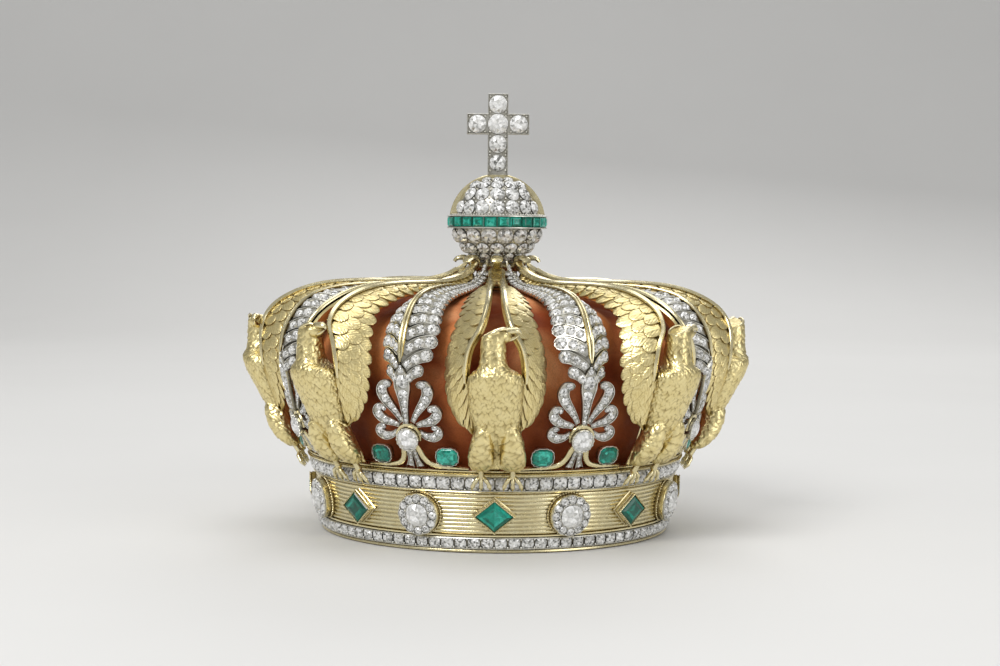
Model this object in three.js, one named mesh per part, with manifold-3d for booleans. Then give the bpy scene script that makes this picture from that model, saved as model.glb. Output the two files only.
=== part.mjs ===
// A small closed crown: a fluted circlet, eight eagle arches and eight leaf arches that rise over a soft cap
// to a hub, and an orb with a cross on top. Millimetres, +Z up, -Y is the front.
// The origin is the middle of the circlet's bottom edge.
import * as THREE from "three";
import { mergeVertices } from "three/addons/utils/BufferGeometryUtils.js";
import Module from "manifold-3d";

const wasm = await Module();
wasm.setup();

// ---- driving dimensions ----

const ARCHES = 8; // eagles, and as many leaf arches half a step between them
const STEP = (2 * Math.PI) / ARCHES;
const GAP = 0.3; // clearance between two pieces that touch
const RING_SIDES = 48;
const CAP_SIDES = 32;
const ORB_SIDES = 16;

const CIRCLET = {
  bottomRadius: 51.2, // outer edge of the plain bottom rim
  fluteBottomRadius: 51.4,
  fluteTopRadius: 53.2,
  innerBottomRadius: 49,
  innerTopRadius: 50.6,
  rimTop: 1.2,
  fluteBottom: 4.8,
  fluteTop: 16.8,
  railBottom: 21.6,
  top: 23.3,
  railRadius: 55.6,
  recess: 1.3, // how far the two stone rows are let in
};
const STONE_RAIL_DEPTH = 2.1;
const LINING = { wall: 1.2, bottom: 0.6, top: 19.4 };

const SETTING_HEIGHT = 10.9; // middle of the stones on the fluted band
const CLUSTER = { radius: 5.9, wallRadius: 5.3, stepHeight: 0.9, height: 3.0 };
const LOZENGE = { halfWidth: 6.1, halfHeight: 4.9, height: 2.4, taper: 0.86 };

const FROND_SLOPE = Math.PI / 6; // how far each half of a leaf folds back from its midrib
const SHEET = 1.1; // thickness of the wings and leaves
const PALMETTE = { radius: 60, height: 32, lean: 0.26, thickness: 1.3 };
const BRACKET = { footRadius: 55.2, foot: 23.6, lean: 0.56, thickness: 1.4 };

const HUB = { radius: 6.9, bottom: 71.2, top: 78.3 };
const BOLT = { radius: 1.3, bore: 1.6, headRadius: 3.2, head: 1.1, tip: 83.6 };
const ORB = { centre: 90.2, beltRadius: 14.7, beltHalfHeight: 1.8, bowlRadius: 13, domeRadius: 13.3 };
const HOOP = { innerRadius: 13.6, outerRadius: 14.8, width: 3 };
const CROSS = { bottom: 105.3, top: 128, centre: 119.1, halfSpan: 9.2, halfBar: 3, thickness: 3.4 };

// ---- materials ----

function finish(color, roughness, metalness) {
  return new THREE.MeshStandardMaterial({ color, roughness, metalness });
}

const gold = finish(0xd8c788, 0.35, 1);
const eagleGold = finish(0xd9c682, 0.5, 1);
const silver = finish(0xb9b8ae, 0.3, 1);
const diamond = finish(0xe6e6e2, 0.05, 0);
const emerald = finish(0x15806a, 0.1, 0);
const velvet = finish(0x7a3a1e, 0.95, 0);
const leather = finish(0x5a2f1c, 0.8, 0);

// ---- solids ----

// A closed geometry as a solid that can be joined and cut.
function solidOf(geometry) {
  const bare = geometry.clone();
  bare.deleteAttribute("normal");
  bare.deleteAttribute("uv");
  const merged = mergeVertices(bare, 1e-4);
  return new wasm.Manifold(
    new wasm.Mesh({
      numProp: 3,
      vertProperties: new Float32Array(merged.attributes.position.array),
      triVerts: new Uint32Array(merged.index.array),
    }),
  );
}

function geometryOf(solid) {
  const mesh = solid.getMesh();
  const geometry = new THREE.BufferGeometry();
  geometry.setAttribute("position", new THREE.BufferAttribute(mesh.vertProperties, 3));
  geometry.setIndex(new THREE.BufferAttribute(mesh.triVerts, 1));
  geometry.computeVertexNormals();
  return geometry;
}

function joined(geometries) {
  return geometries.map(solidOf).reduce((whole, next) => whole.add(next));
}

// A point of an arch: across it, outwards from the crown's axis, and up. The front arch faces -Y.
function at(across, out, up) {
  return new THREE.Vector3(across, -out, up);
}

// A closed body through rings of points, each ring with as many points as the others.
function loft(rings) {
  const sides = rings[0].length;
  const last = (rings.length - 1) * sides;
  const faces = [];
  for (let row = 0; row < rings.length - 1; row++) {
    for (let side = 0; side < sides; side++) {
      const a = row * sides + side;
      const b = row * sides + ((side + 1) % sides);
      faces.push(a, b, b + sides, a, b + sides, a + sides);
    }
  }
  for (let side = 1; side < sides - 1; side++) {
    faces.push(0, side + 1, side);
    faces.push(last, last + side, last + side + 1);
  }
  const geometry = new THREE.BufferGeometry().setFromPoints(rings.flat());
  geometry.setIndex(faces);
  return outward(geometry);
}

// The geometry with its faces turned outwards.
function outward(geometry) {
  const { index, attributes } = geometry;
  const [a, b, c] = [new THREE.Vector3(), new THREE.Vector3(), new THREE.Vector3()];
  let volume = 0;
  for (let i = 0; i < index.count; i += 3) {
    a.fromBufferAttribute(attributes.position, index.getX(i));
    b.fromBufferAttribute(attributes.position, index.getX(i + 1));
    c.fromBufferAttribute(attributes.position, index.getX(i + 2));
    volume += a.dot(b.cross(c));
  }
  if (volume < 0) geometry.setIndex(Array.from(index.array).reverse());
  return geometry;
}

// A solid of revolution about +Z from a closed outline of [radius, height] points, anticlockwise.
function turned(outline, sides) {
  const points = [...outline, outline[0]].map(([radius, height]) => new THREE.Vector2(radius, height));
  return new THREE.LatheGeometry(points, sides).rotateX(Math.PI / 2);
}

// A straight round bar between two points.
function bar(from, to, radius, sides = 6) {
  const along = new THREE.Vector3().subVectors(to, from);
  const turn = new THREE.Quaternion().setFromUnitVectors(
    new THREE.Vector3(0, 1, 0),
    along.clone().normalize(),
  );
  return new THREE.CylinderGeometry(radius, radius, along.length(), sides)
    .applyQuaternion(turn)
    .translate(...from.clone().add(to).divideScalar(2));
}

// ---- circlet ----

function bandOutline() {
  const c = CIRCLET;
  return [
    [c.innerBottomRadius, 0],
    [c.bottomRadius, 0],
    [c.bottomRadius, c.rimTop],
    [c.bottomRadius - c.recess, c.rimTop],
    [c.fluteBottomRadius - c.recess, c.fluteBottom],
    [c.fluteBottomRadius, c.fluteBottom],
    [c.fluteTopRadius, c.fluteTop],
    [c.fluteTopRadius - c.recess, c.fluteTop],
    [c.fluteTopRadius - c.recess + 0.5, c.railBottom],
    [c.railRadius, c.railBottom],
    [c.railRadius, c.top],
    [c.innerTopRadius, c.top],
  ];
}

// A ring of stones let into the band between two heights, its face following the flare.
function stoneRail(bottomRadius, bottom, topRadius, top) {
  return turned(
    [
      [bottomRadius, bottom],
      [bottomRadius + STONE_RAIL_DEPTH, bottom],
      [topRadius + STONE_RAIL_DEPTH, top],
      [topRadius, top],
    ],
    RING_SIDES,
  );
}

function lowerStoneRail() {
  const c = CIRCLET;
  const inner = c.fluteBottomRadius - c.recess + GAP;
  return stoneRail(inner, c.rimTop + GAP, inner + 0.1, c.fluteBottom - GAP);
}

function upperStoneRail() {
  const c = CIRCLET;
  const inner = c.fluteTopRadius - c.recess + 0.5 + GAP;
  return stoneRail(inner - 0.4, c.fluteTop + GAP, inner + 0.3, c.railBottom - GAP);
}

function headbandLining() {
  const c = CIRCLET;
  const flare = (c.innerTopRadius - c.innerBottomRadius) / c.top;
  const outerAt = (height) => c.innerBottomRadius - GAP - 0.1 + flare * height;
  return turned(
    [
      [outerAt(LINING.bottom) - LINING.wall, LINING.bottom],
      [outerAt(LINING.bottom), LINING.bottom],
      [outerAt(LINING.top), LINING.top],
      [outerAt(LINING.top) - LINING.wall, LINING.top],
    ],
    RING_SIDES,
  );
}

// Radius of the fluted face at the height where the stones sit.
function faceRadius() {
  const c = CIRCLET;
  const share = (SETTING_HEIGHT - c.fluteBottom) / (c.fluteTop - c.fluteBottom);
  return c.fluteBottomRadius + share * (c.fluteTopRadius - c.fluteBottomRadius);
}

// The tilt of the band's face from upright.
const FLARE = Math.atan2(
  CIRCLET.fluteTopRadius - CIRCLET.fluteBottomRadius,
  CIRCLET.fluteTop - CIRCLET.fluteBottom,
);

// Stands a setting that was made along +Y on the front of the band, tilted with its face.
function onBand(geometry) {
  return geometry
    .rotateX(Math.PI)
    .rotateX(FLARE)
    .translate(0, -(faceRadius() + GAP), SETTING_HEIGHT);
}

function clusterSetting() {
  const c = CLUSTER;
  const outline = [
    [0, 0],
    [c.radius, 0],
    [c.radius, c.stepHeight],
    [c.wallRadius, c.height - 0.6],
    [0, c.height],
  ].map(([radius, height]) => new THREE.Vector2(radius, height));
  return onBand(new THREE.LatheGeometry(outline, 12));
}

function lozengeSetting() {
  const l = LOZENGE;
  return onBand(
    new THREE.CylinderGeometry(l.taper, 1, l.height, 4)
      .translate(0, l.height / 2, 0)
      .scale(l.halfWidth, 1, l.halfHeight),
  );
}

// ---- eagles ----

// Body sections from the thighs to the crown of the head: height, distance out, half width, half depth.
const BODY = [
  [23.9, 58.6, 6.2, 2.2],
  [29, 62, 7.2, 4],
  [35.5, 64.6, 5.9, 4],
  [41, 67, 6.9, 4.9],
  [48.5, 69.4, 7.3, 5.9],
  [54.5, 70.2, 5.4, 4.8],
  [58, 70.6, 3.4, 3.7],
  [64.6, 70.4, 2.4, 2.4],
];
const BODY_SIDES = 8;

// The body, grown by a margin all round so that its neighbours can be cut clear of it.
function bodyLoft(margin = 0) {
  const rings = BODY.map(([height, out, width, depth], row) => {
    const end = row === 0 ? -margin : row === BODY.length - 1 ? margin : 0;
    return Array.from({ length: BODY_SIDES }, (_, side) => {
      const angle = (2 * Math.PI * side) / BODY_SIDES;
      const across = (width + margin) * Math.cos(angle);
      return at(across, out + (depth + margin) * Math.sin(angle), height + end);
    });
  });
  return loft(rings);
}

// A leg with three toes that grip the rail, on one side of the body.
function leg(side) {
  const ankle = at(side * 4.3, 57.8, 21.6);
  const toes = [-2.1, 0.2, 2.3].map((spread) => bar(ankle, at(side * 4.3 + spread, 57.4, 18.4), 0.45, 3));
  return [bar(at(side * 4.2, 59.2, 26), ankle, 0.95, 5), ...toes];
}

function beak() {
  return new THREE.ConeGeometry(1.2, 4.2, 4).rotateZ(-Math.PI / 2).translate(4, -71, 62.9);
}

function eagleBody() {
  return geometryOf(joined([bodyLoft(), ...leg(-1), ...leg(1), beak()]));
}

// Pairs of points up one wing, from its lowest feather to the hub: the leading rib and the feather tips.
const WING = [
  { rib: [5.6, 62.9, 34], tip: [6.7, 62.2, 34.3] },
  { rib: [6.6, 65.2, 40], tip: [11.4, 61.4, 40] },
  { rib: [7.3, 67.7, 48], tip: [13.2, 61.1, 47.5] },
  { rib: [5.6, 68.3, 57.4], tip: [12.3, 59.3, 58] },
  { rib: [2.7, 67.3, 61.6], tip: [11, 57.4, 61.8] },
  { rib: [1.8, 65, 65], tip: [9.8, 54.4, 65.2] },
  { rib: [1.3, 60.8, 68.5], tip: [9.1, 50.2, 67.7] },
  { rib: [0.9, 53.5, 71.9], tip: [8, 43.6, 69.8] },
  { rib: [-0.1, 42, 73.7], tip: [5.8, 34.5, 71.6] },
  { rib: [-0.1, 26, 74.2], tip: [3.3, 23, 73.3] },
  { rib: [-0.1, 14, 76.5], tip: [1.9, 13.6, 76.4] },
  { rib: [-0.1, 8.8, 79.6], tip: [1.6, 8.8, 79.6] },
];

// One wing as a sheet between its rib and its feather tips. side is -1 or 1.
function wing(side) {
  const ribs = WING.map(({ rib }) => at(side * rib[0], rib[1], rib[2]));
  const tips = WING.map(({ tip }) => at(side * tip[0], tip[1], tip[2]));
  const rings = ribs.map((rib, row) => {
    const along = new THREE.Vector3().subVectors(
      ribs[Math.min(row + 1, ribs.length - 1)],
      ribs[Math.max(row - 1, 0)],
    );
    const inward = new THREE.Vector3()
      .subVectors(tips[row], rib)
      .cross(along)
      .normalize()
      .multiplyScalar(-side * SHEET);
    return [rib, tips[row], tips[row].clone().add(inward), rib.clone().add(inward)];
  });
  return loft(rings);
}

// The volute that ends an eagle arch beside the orb.
function volute() {
  return bar(at(-1.6, 10.6, 79.2), at(1.6, 10.6, 79.2), 1.1, 6);
}

// A strap behind the body that joins both wings and stands on the gallery rail.
function archStrap() {
  const sections = [
    [23.6, 54],
    [30, 57.6],
    [38, 60.4],
    [46, 62],
  ];
  return loft(
    sections.map(([height, out]) => [
      at(-2.5, out, height),
      at(2.5, out, height),
      at(2.5, out - SHEET, height),
      at(-2.5, out - SHEET, height),
    ]),
  );
}

// Bars from the strap to each wing, hidden behind the body.
function strapArms() {
  return [-1, 1].map((side) => bar(at(0, 61, 44.5), at(side * 9.5, 63.5, 45.5), 0.8, 4));
}

function eagleWings() {
  const whole = joined([wing(-1), wing(1), volute(), archStrap(), ...strapArms()]);
  return geometryOf(whole.subtract(solidOf(bodyLoft(GAP + 0.05))));
}

// ---- leaf arches ----

// The midrib from the palmette to the hub: distance out, height, and the length of the leaf on each side.
const FROND = [
  [65.7, 52.9, 7.4],
  [64.6, 58.8, 8.9],
  [61.2, 64.7, 8.8],
  [56.2, 68.6, 7.9],
  [48.7, 71, 6.6],
  [38.4, 72.1, 4.9],
  [20, 72.6, 2.5],
  [11.6, 74.6, 1.7],
  [9, 78.9, 1.5],
];

// A leaf whose two halves fold back from the midrib like a roof.
function frondArch() {
  const rings = FROND.map(([out, height, chord], row) => {
    const before = FROND[Math.max(row - 1, 0)];
    const after = FROND[Math.min(row + 1, FROND.length - 1)];
    const along = new THREE.Vector2(after[0] - before[0], after[1] - before[1]).normalize();
    const place = (across, depth) => at(across, out - along.y * depth, height + along.x * depth);
    const half = chord * Math.cos(FROND_SLOPE);
    const fall = chord * Math.sin(FROND_SLOPE);
    return [
      place(-half, fall),
      place(0, 0),
      place(half, fall),
      place(half, fall + SHEET),
      place(0, SHEET),
      place(-half, fall + SHEET),
    ];
  });
  return loft(rings);
}

// Turns a shape drawn in X and Y so that it stands at the front and leans outwards by lean.
function standing(geometry, out, up, lean) {
  return geometry.rotateX(Math.PI / 2 + lean).translate(0, -out, up);
}

// The lobes of the palmette, from one low side over the tall middle one to the other:
// angle from upright, reach from the heart and half width.
const LOBES = [
  [-1.4, 10.6, 1.5],
  [-0.98, 12, 1.8],
  [-0.46, 17, 2],
  [0, 21, 2.2],
  [0.46, 17, 2],
  [0.98, 12, 1.8],
  [1.4, 10.6, 1.5],
];

// The fan of lobes as one plate, with a valley between each lobe and the next.
function fan() {
  const corners = [new THREE.Vector2(-3, -1.5)];
  LOBES.forEach(([angle, reach, halfWidth], i) => {
    const place = (across, along) =>
      new THREE.Vector2(across, along).rotateAround(new THREE.Vector2(), -angle);
    corners.push(
      place(-halfWidth, 0.62 * reach),
      place(-0.6 * halfWidth, reach),
      place(0.6 * halfWidth, reach),
      place(halfWidth, 0.62 * reach),
    );
    if (i < LOBES.length - 1) {
      const between = (angle + LOBES[i + 1][0]) / 2;
      corners.push(new THREE.Vector2(4.6 * Math.sin(between), 4.6 * Math.cos(between)));
    }
  });
  corners.push(new THREE.Vector2(3, -1.5));
  const plate = new THREE.ExtrudeGeometry(new THREE.Shape(corners.reverse()), {
    depth: PALMETTE.thickness,
    bevelEnabled: false,
  });
  return standing(plate, PALMETTE.radius, PALMETTE.height, PALMETTE.lean);
}

// Two curved legs that carry the palmette and end in arms under the side stones.
function bracket() {
  const outline = new THREE.Shape();
  outline.moveTo(-9, 0);
  outline.lineTo(9, 0);
  outline.lineTo(9, 2.4);
  outline.lineTo(7.4, 2.4);
  outline.quadraticCurveTo(3.4, 1.4, 2.6, 7.6);
  outline.lineTo(-2.6, 7.6);
  outline.quadraticCurveTo(-3.4, 1.4, -7.4, 2.4);
  outline.lineTo(-9, 2.4);
  const solid = new THREE.ExtrudeGeometry(outline, {
    depth: BRACKET.thickness,
    bevelEnabled: false,
    curveSegments: 3,
  });
  return standing(solid, BRACKET.footRadius, BRACKET.foot, BRACKET.lean);
}

// The large round stone at the palmette's heart, and the two emeralds beside its foot.
function palmetteStones() {
  const stone = (across, out, up, halfWidth, halfHeight, depth, lean) =>
    new THREE.CylinderGeometry(1, 1, depth, 8)
      .scale(halfWidth, 1, halfHeight)
      .rotateX(lean)
      .translate(across, -out, up);
  const sides = [-1, 1].map((side) => stone(side * 8.9, 56.9, 27, 2.9, 2.3, 3, BRACKET.lean));
  return [stone(0, 60.1, 31.6, 3.1, 3.1, 4.2, PALMETTE.lean), ...sides];
}

function palmette() {
  return geometryOf(joined([fan(), bracket(), ...palmetteStones()]));
}

// ---- hub, orb and cross ----

function hub() {
  const h = HUB;
  return turned(
    [
      [BOLT.bore, h.bottom],
      [h.radius, h.bottom],
      [h.radius, h.top],
      [BOLT.bore, h.top],
    ],
    ORB_SIDES,
  );
}

function finialBolt() {
  const b = BOLT;
  const headTop = HUB.bottom - GAP;
  return turned(
    [
      [0, headTop - b.head],
      [b.headRadius, headTop - b.head],
      [b.headRadius, headTop],
      [b.radius, headTop],
      [b.radius, b.tip],
      [0, b.tip],
    ],
    12,
  );
}

// Points of an arc about the orb's centre, from one height to another.
function orbArc(radius, from, to, steps) {
  return Array.from({ length: steps + 1 }, (_, i) => {
    const height = from + ((to - from) * i) / steps;
    return [Math.sqrt(Math.max(radius ** 2 - (height - ORB.centre) ** 2, 0)), height];
  });
}

// The lower half, with a bore for the bolt below and a spigot for the belt above.
function orbBowl() {
  const shoulder = ORB.centre - ORB.beltHalfHeight - GAP;
  const spigot = ORB.beltRadius - 2.8;
  return turned(
    [
      [0, BOLT.tip + GAP],
      [BOLT.bore, BOLT.tip + GAP],
      [BOLT.bore, HUB.top + GAP],
      ...orbArc(ORB.bowlRadius, HUB.top + GAP, shoulder, 4),
      [spigot, shoulder],
      [spigot, ORB.centre + ORB.beltHalfHeight],
      [0, ORB.centre + ORB.beltHalfHeight],
    ],
    ORB_SIDES,
  );
}

function orbBelt() {
  const inner = ORB.beltRadius - 2.5;
  return turned(
    [
      [inner, ORB.centre - ORB.beltHalfHeight],
      [ORB.beltRadius, ORB.centre - ORB.beltHalfHeight],
      [ORB.beltRadius, ORB.centre + ORB.beltHalfHeight],
      [inner, ORB.centre + ORB.beltHalfHeight],
    ],
    ORB_SIDES,
  );
}

function orbDome() {
  const bottom = ORB.centre + ORB.beltHalfHeight + GAP;
  const arc = orbArc(ORB.domeRadius, bottom, ORB.centre + ORB.domeRadius, 6);
  return turned([[0, bottom], ...arc], ORB_SIDES);
}

// A flat band over the dome from side to side.
function orbHoop() {
  const bottom = ORB.beltHalfHeight + GAP;
  const outerStart = Math.asin(bottom / HOOP.outerRadius);
  const innerStart = Math.asin(bottom / HOOP.innerRadius);
  const outline = new THREE.Shape();
  outline.absarc(0, 0, HOOP.outerRadius, outerStart, Math.PI - outerStart, false);
  outline.absarc(0, 0, HOOP.innerRadius, Math.PI - innerStart, innerStart, true);
  return new THREE.ExtrudeGeometry(outline, { depth: HOOP.width, bevelEnabled: false, curveSegments: 8 })
    .translate(0, 0, -HOOP.width / 2)
    .rotateX(Math.PI / 2)
    .translate(0, 0, ORB.centre);
}

function cross() {
  const c = CROSS;
  const outline = new THREE.Shape();
  outline.moveTo(-c.halfBar, c.bottom);
  for (const [across, up] of [
    [c.halfBar, c.bottom],
    [c.halfBar, c.centre - c.halfBar],
    [c.halfSpan, c.centre - c.halfBar],
    [c.halfSpan, c.centre + c.halfBar],
    [c.halfBar, c.centre + c.halfBar],
    [c.halfBar, c.top],
    [-c.halfBar, c.top],
    [-c.halfBar, c.centre + c.halfBar],
    [-c.halfSpan, c.centre + c.halfBar],
    [-c.halfSpan, c.centre - c.halfBar],
    [-c.halfBar, c.centre - c.halfBar],
  ]) {
    outline.lineTo(across, up);
  }
  return new THREE.ExtrudeGeometry(outline, { depth: c.thickness, bevelEnabled: false })
    .translate(0, 0, -c.thickness / 2)
    .rotateX(Math.PI / 2);
}

// ---- soft cap ----

// The cap's outer outline from its hem to its crown, and its thickness.
const CAP = [
  [49.5, 19.8],
  [50.4, 24],
  [55, 34],
  [56.6, 46],
  [54.8, 57],
  [49.5, 64],
  [36, 68.2],
  [0, 69.4],
];
const CAP_WALL = 1.3;

function softCap() {
  const inner = CAP.map(([radius, height], row) => {
    const before = CAP[Math.max(row - 1, 0)];
    const after = CAP[Math.min(row + 1, CAP.length - 1)];
    const length = Math.hypot(after[0] - before[0], after[1] - before[1]);
    const inset = (CAP_WALL * (after[1] - before[1])) / length;
    const drop = (CAP_WALL * (after[0] - before[0])) / length;
    return row === 0 ? [radius - CAP_WALL, height] : [Math.max(radius - inset, 0), height + drop];
  });
  return turned([...CAP, ...inner.reverse()], CAP_SIDES);
}

// ---- assembly ----

const crown = new THREE.Group();

function piece(name, geometry, material, parent = crown) {
  const mesh = new THREE.Mesh(geometry, material);
  mesh.name = name;
  parent.add(mesh);
  return mesh;
}

piece("fluted_band", turned(bandOutline(), RING_SIDES), gold);
piece("lower_stone_rail", lowerStoneRail(), silver);
piece("upper_stone_rail", upperStoneRail(), silver);
piece("headband_lining", headbandLining(), leather);
piece("velvet_cap", softCap(), velvet);

for (let i = 0; i < ARCHES; i++) {
  const eagleSide = new THREE.Group();
  eagleSide.rotation.z = i * STEP;
  piece(`eagle_body_${i + 1}`, eagleBody(), eagleGold, eagleSide);
  piece(`eagle_wings_${i + 1}`, eagleWings(), eagleGold, eagleSide);
  piece(`band_emerald_${i + 1}`, lozengeSetting(), emerald, eagleSide);

  const leafSide = new THREE.Group();
  leafSide.rotation.z = (i + 0.5) * STEP;
  piece(`frond_arch_${i + 1}`, frondArch(), silver, leafSide);
  piece(`palmette_${i + 1}`, palmette(), silver, leafSide);
  piece(`diamond_cluster_${i + 1}`, clusterSetting(), diamond, leafSide);
  crown.add(eagleSide, leafSide);
}

piece("arch_hub", hub(), gold);
piece("finial_bolt", finialBolt(), gold);
piece("orb_bowl", orbBowl(), silver);
piece("orb_belt", orbBelt(), emerald);
piece("orb_dome", orbDome(), silver);
piece("orb_hoop", orbHoop(), gold);
piece("cross", cross(), silver);

export default crown;
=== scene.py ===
"""The looks of a small jewelled crown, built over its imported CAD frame.

Lengths are in millimetres, in the crown's own frame: +Z up, -Y the front, the origin in the middle of the
circlet's bottom edge. make_mesh() turns them into metres.
"""

import math

import bmesh
import bpy
import numpy as np
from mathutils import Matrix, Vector

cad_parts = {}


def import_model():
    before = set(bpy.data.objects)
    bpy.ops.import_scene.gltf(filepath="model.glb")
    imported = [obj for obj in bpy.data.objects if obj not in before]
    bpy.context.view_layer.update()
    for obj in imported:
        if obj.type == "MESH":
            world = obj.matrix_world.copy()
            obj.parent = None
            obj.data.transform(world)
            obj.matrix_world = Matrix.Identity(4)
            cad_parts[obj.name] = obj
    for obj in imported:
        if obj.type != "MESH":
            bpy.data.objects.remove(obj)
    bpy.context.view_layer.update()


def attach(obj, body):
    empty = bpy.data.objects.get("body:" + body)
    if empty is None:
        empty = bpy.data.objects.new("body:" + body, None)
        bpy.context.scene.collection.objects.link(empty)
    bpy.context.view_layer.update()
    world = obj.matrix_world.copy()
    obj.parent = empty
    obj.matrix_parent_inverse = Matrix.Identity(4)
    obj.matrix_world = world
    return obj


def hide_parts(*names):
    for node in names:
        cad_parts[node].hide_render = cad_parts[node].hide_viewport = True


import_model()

ARCHES = 8
STEP = 360 / ARCHES
UP = np.array([0.0, 0.0, 1.0])
METRES = 0.001
GRAIN = 0.36  # radius of most of the grains of metal between stones


# ---- points and curves ----


def at(across, out, up):
    """A point of the front arch: across it, outwards from the crown's axis, and up."""
    return np.array([across, -out, up], float)


def unit(vectors):
    """Vectors made one long. Those without a length stay as they are."""
    lengths = np.linalg.norm(vectors, axis=-1, keepdims=True)
    return vectors / np.where(lengths > 1e-9, lengths, 1)


def turned(points, degrees):
    """Points turned about the crown's axis."""
    a = math.radians(degrees)
    turn = np.array([[math.cos(a), -math.sin(a), 0], [math.sin(a), math.cos(a), 0], [0, 0, 1]])
    return np.asarray(points) @ turn.T


class Curve:
    """A smooth curve through points, measured along its length from 0 to 1."""

    def __init__(self, points, steps=12):
        p = np.asarray(points, float)
        ends = np.vstack([2 * p[0] - p[1], p, 2 * p[-1] - p[-2]])
        a, b, c, d = (ends[i : i + len(p) - 1, None] for i in range(4))
        slope, bend, twist = c - a, 2 * a - 5 * b + 4 * c - d, 3 * b - a - 3 * c + d
        t = np.linspace(0, 1, steps, endpoint=False)[:, None]
        fine = 0.5 * (2 * b + slope * t + bend * t * t + twist * t**3)
        self.fine = np.vstack([fine.reshape(-1, p.shape[1]), p[-1]])
        self.raw = np.linspace(0, 1, len(self.fine))
        gaps = np.linalg.norm(np.diff(self.fine, axis=0), axis=1)
        self.run = np.concatenate([[0], np.cumsum(gaps)])
        self.length = self.run[-1]

    def __call__(self, t):
        """The point at share t of the curve's length."""
        s = np.clip(t, 0, 1) * self.length
        return np.stack([np.interp(s, self.run, column) for column in self.fine.T], axis=-1)

    def by_station(self, t):
        """The point at share t of the curve's stations, which needn't be evenly spaced."""
        return np.stack([np.interp(t, self.raw, column) for column in self.fine.T], axis=-1)


def through(*points):
    """A curve through points of the front arch, each given as (across, out, up)."""
    return Curve([at(*point) for point in points])


class Plane:
    """A flat frame: its centre, two directions across it, the second the more upright, and its normal."""

    def __init__(self, centre, normal=UP):
        self.centre = np.asarray(centre, float)
        self.normal = unit(np.asarray(normal, float))
        side = np.cross(UP, self.normal)
        if np.linalg.norm(side) < 1e-4:
            side = np.cross([0.0, 1.0, 0.0], self.normal)
        self.side = unit(side)
        self.other = np.cross(self.normal, self.side)

    def __call__(self, flat=((0, 0),), height=0.0):
        """Points from flat (across, up) pairs, at a height along the normal."""
        flat = np.asarray(flat, float)
        return self.centre + flat[:, :1] * self.side + flat[:, 1:] * self.other + height * self.normal

    def raised(self, height):
        return Plane(self(height=height)[0], self.normal)


def circle(count, radius=1.0, start=0.0):
    angles = start + np.arange(count) * 2 * math.pi / count
    return np.stack([radius * np.cos(angles), radius * np.sin(angles)], axis=1)


def scalloped(outline, waves, depth):
    """An outline with shallow scallops all round."""
    turn = np.arange(len(outline)) * 2 * math.pi / len(outline)
    return outline * (1 + depth * np.cos(waves * turn))[:, None]


def joined(low, high, count):
    """Faces between two rings of points, each given by the number of its first point."""
    return [[low + k, low + (k + 1) % count, high + (k + 1) % count, high + k] for k in range(count)]


def fan(ring, tip, count):
    """Faces between a ring of points and one point."""
    return [[ring + k, ring + (k + 1) % count, tip] for k in range(count)]


# ---- mesh building ----


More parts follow.
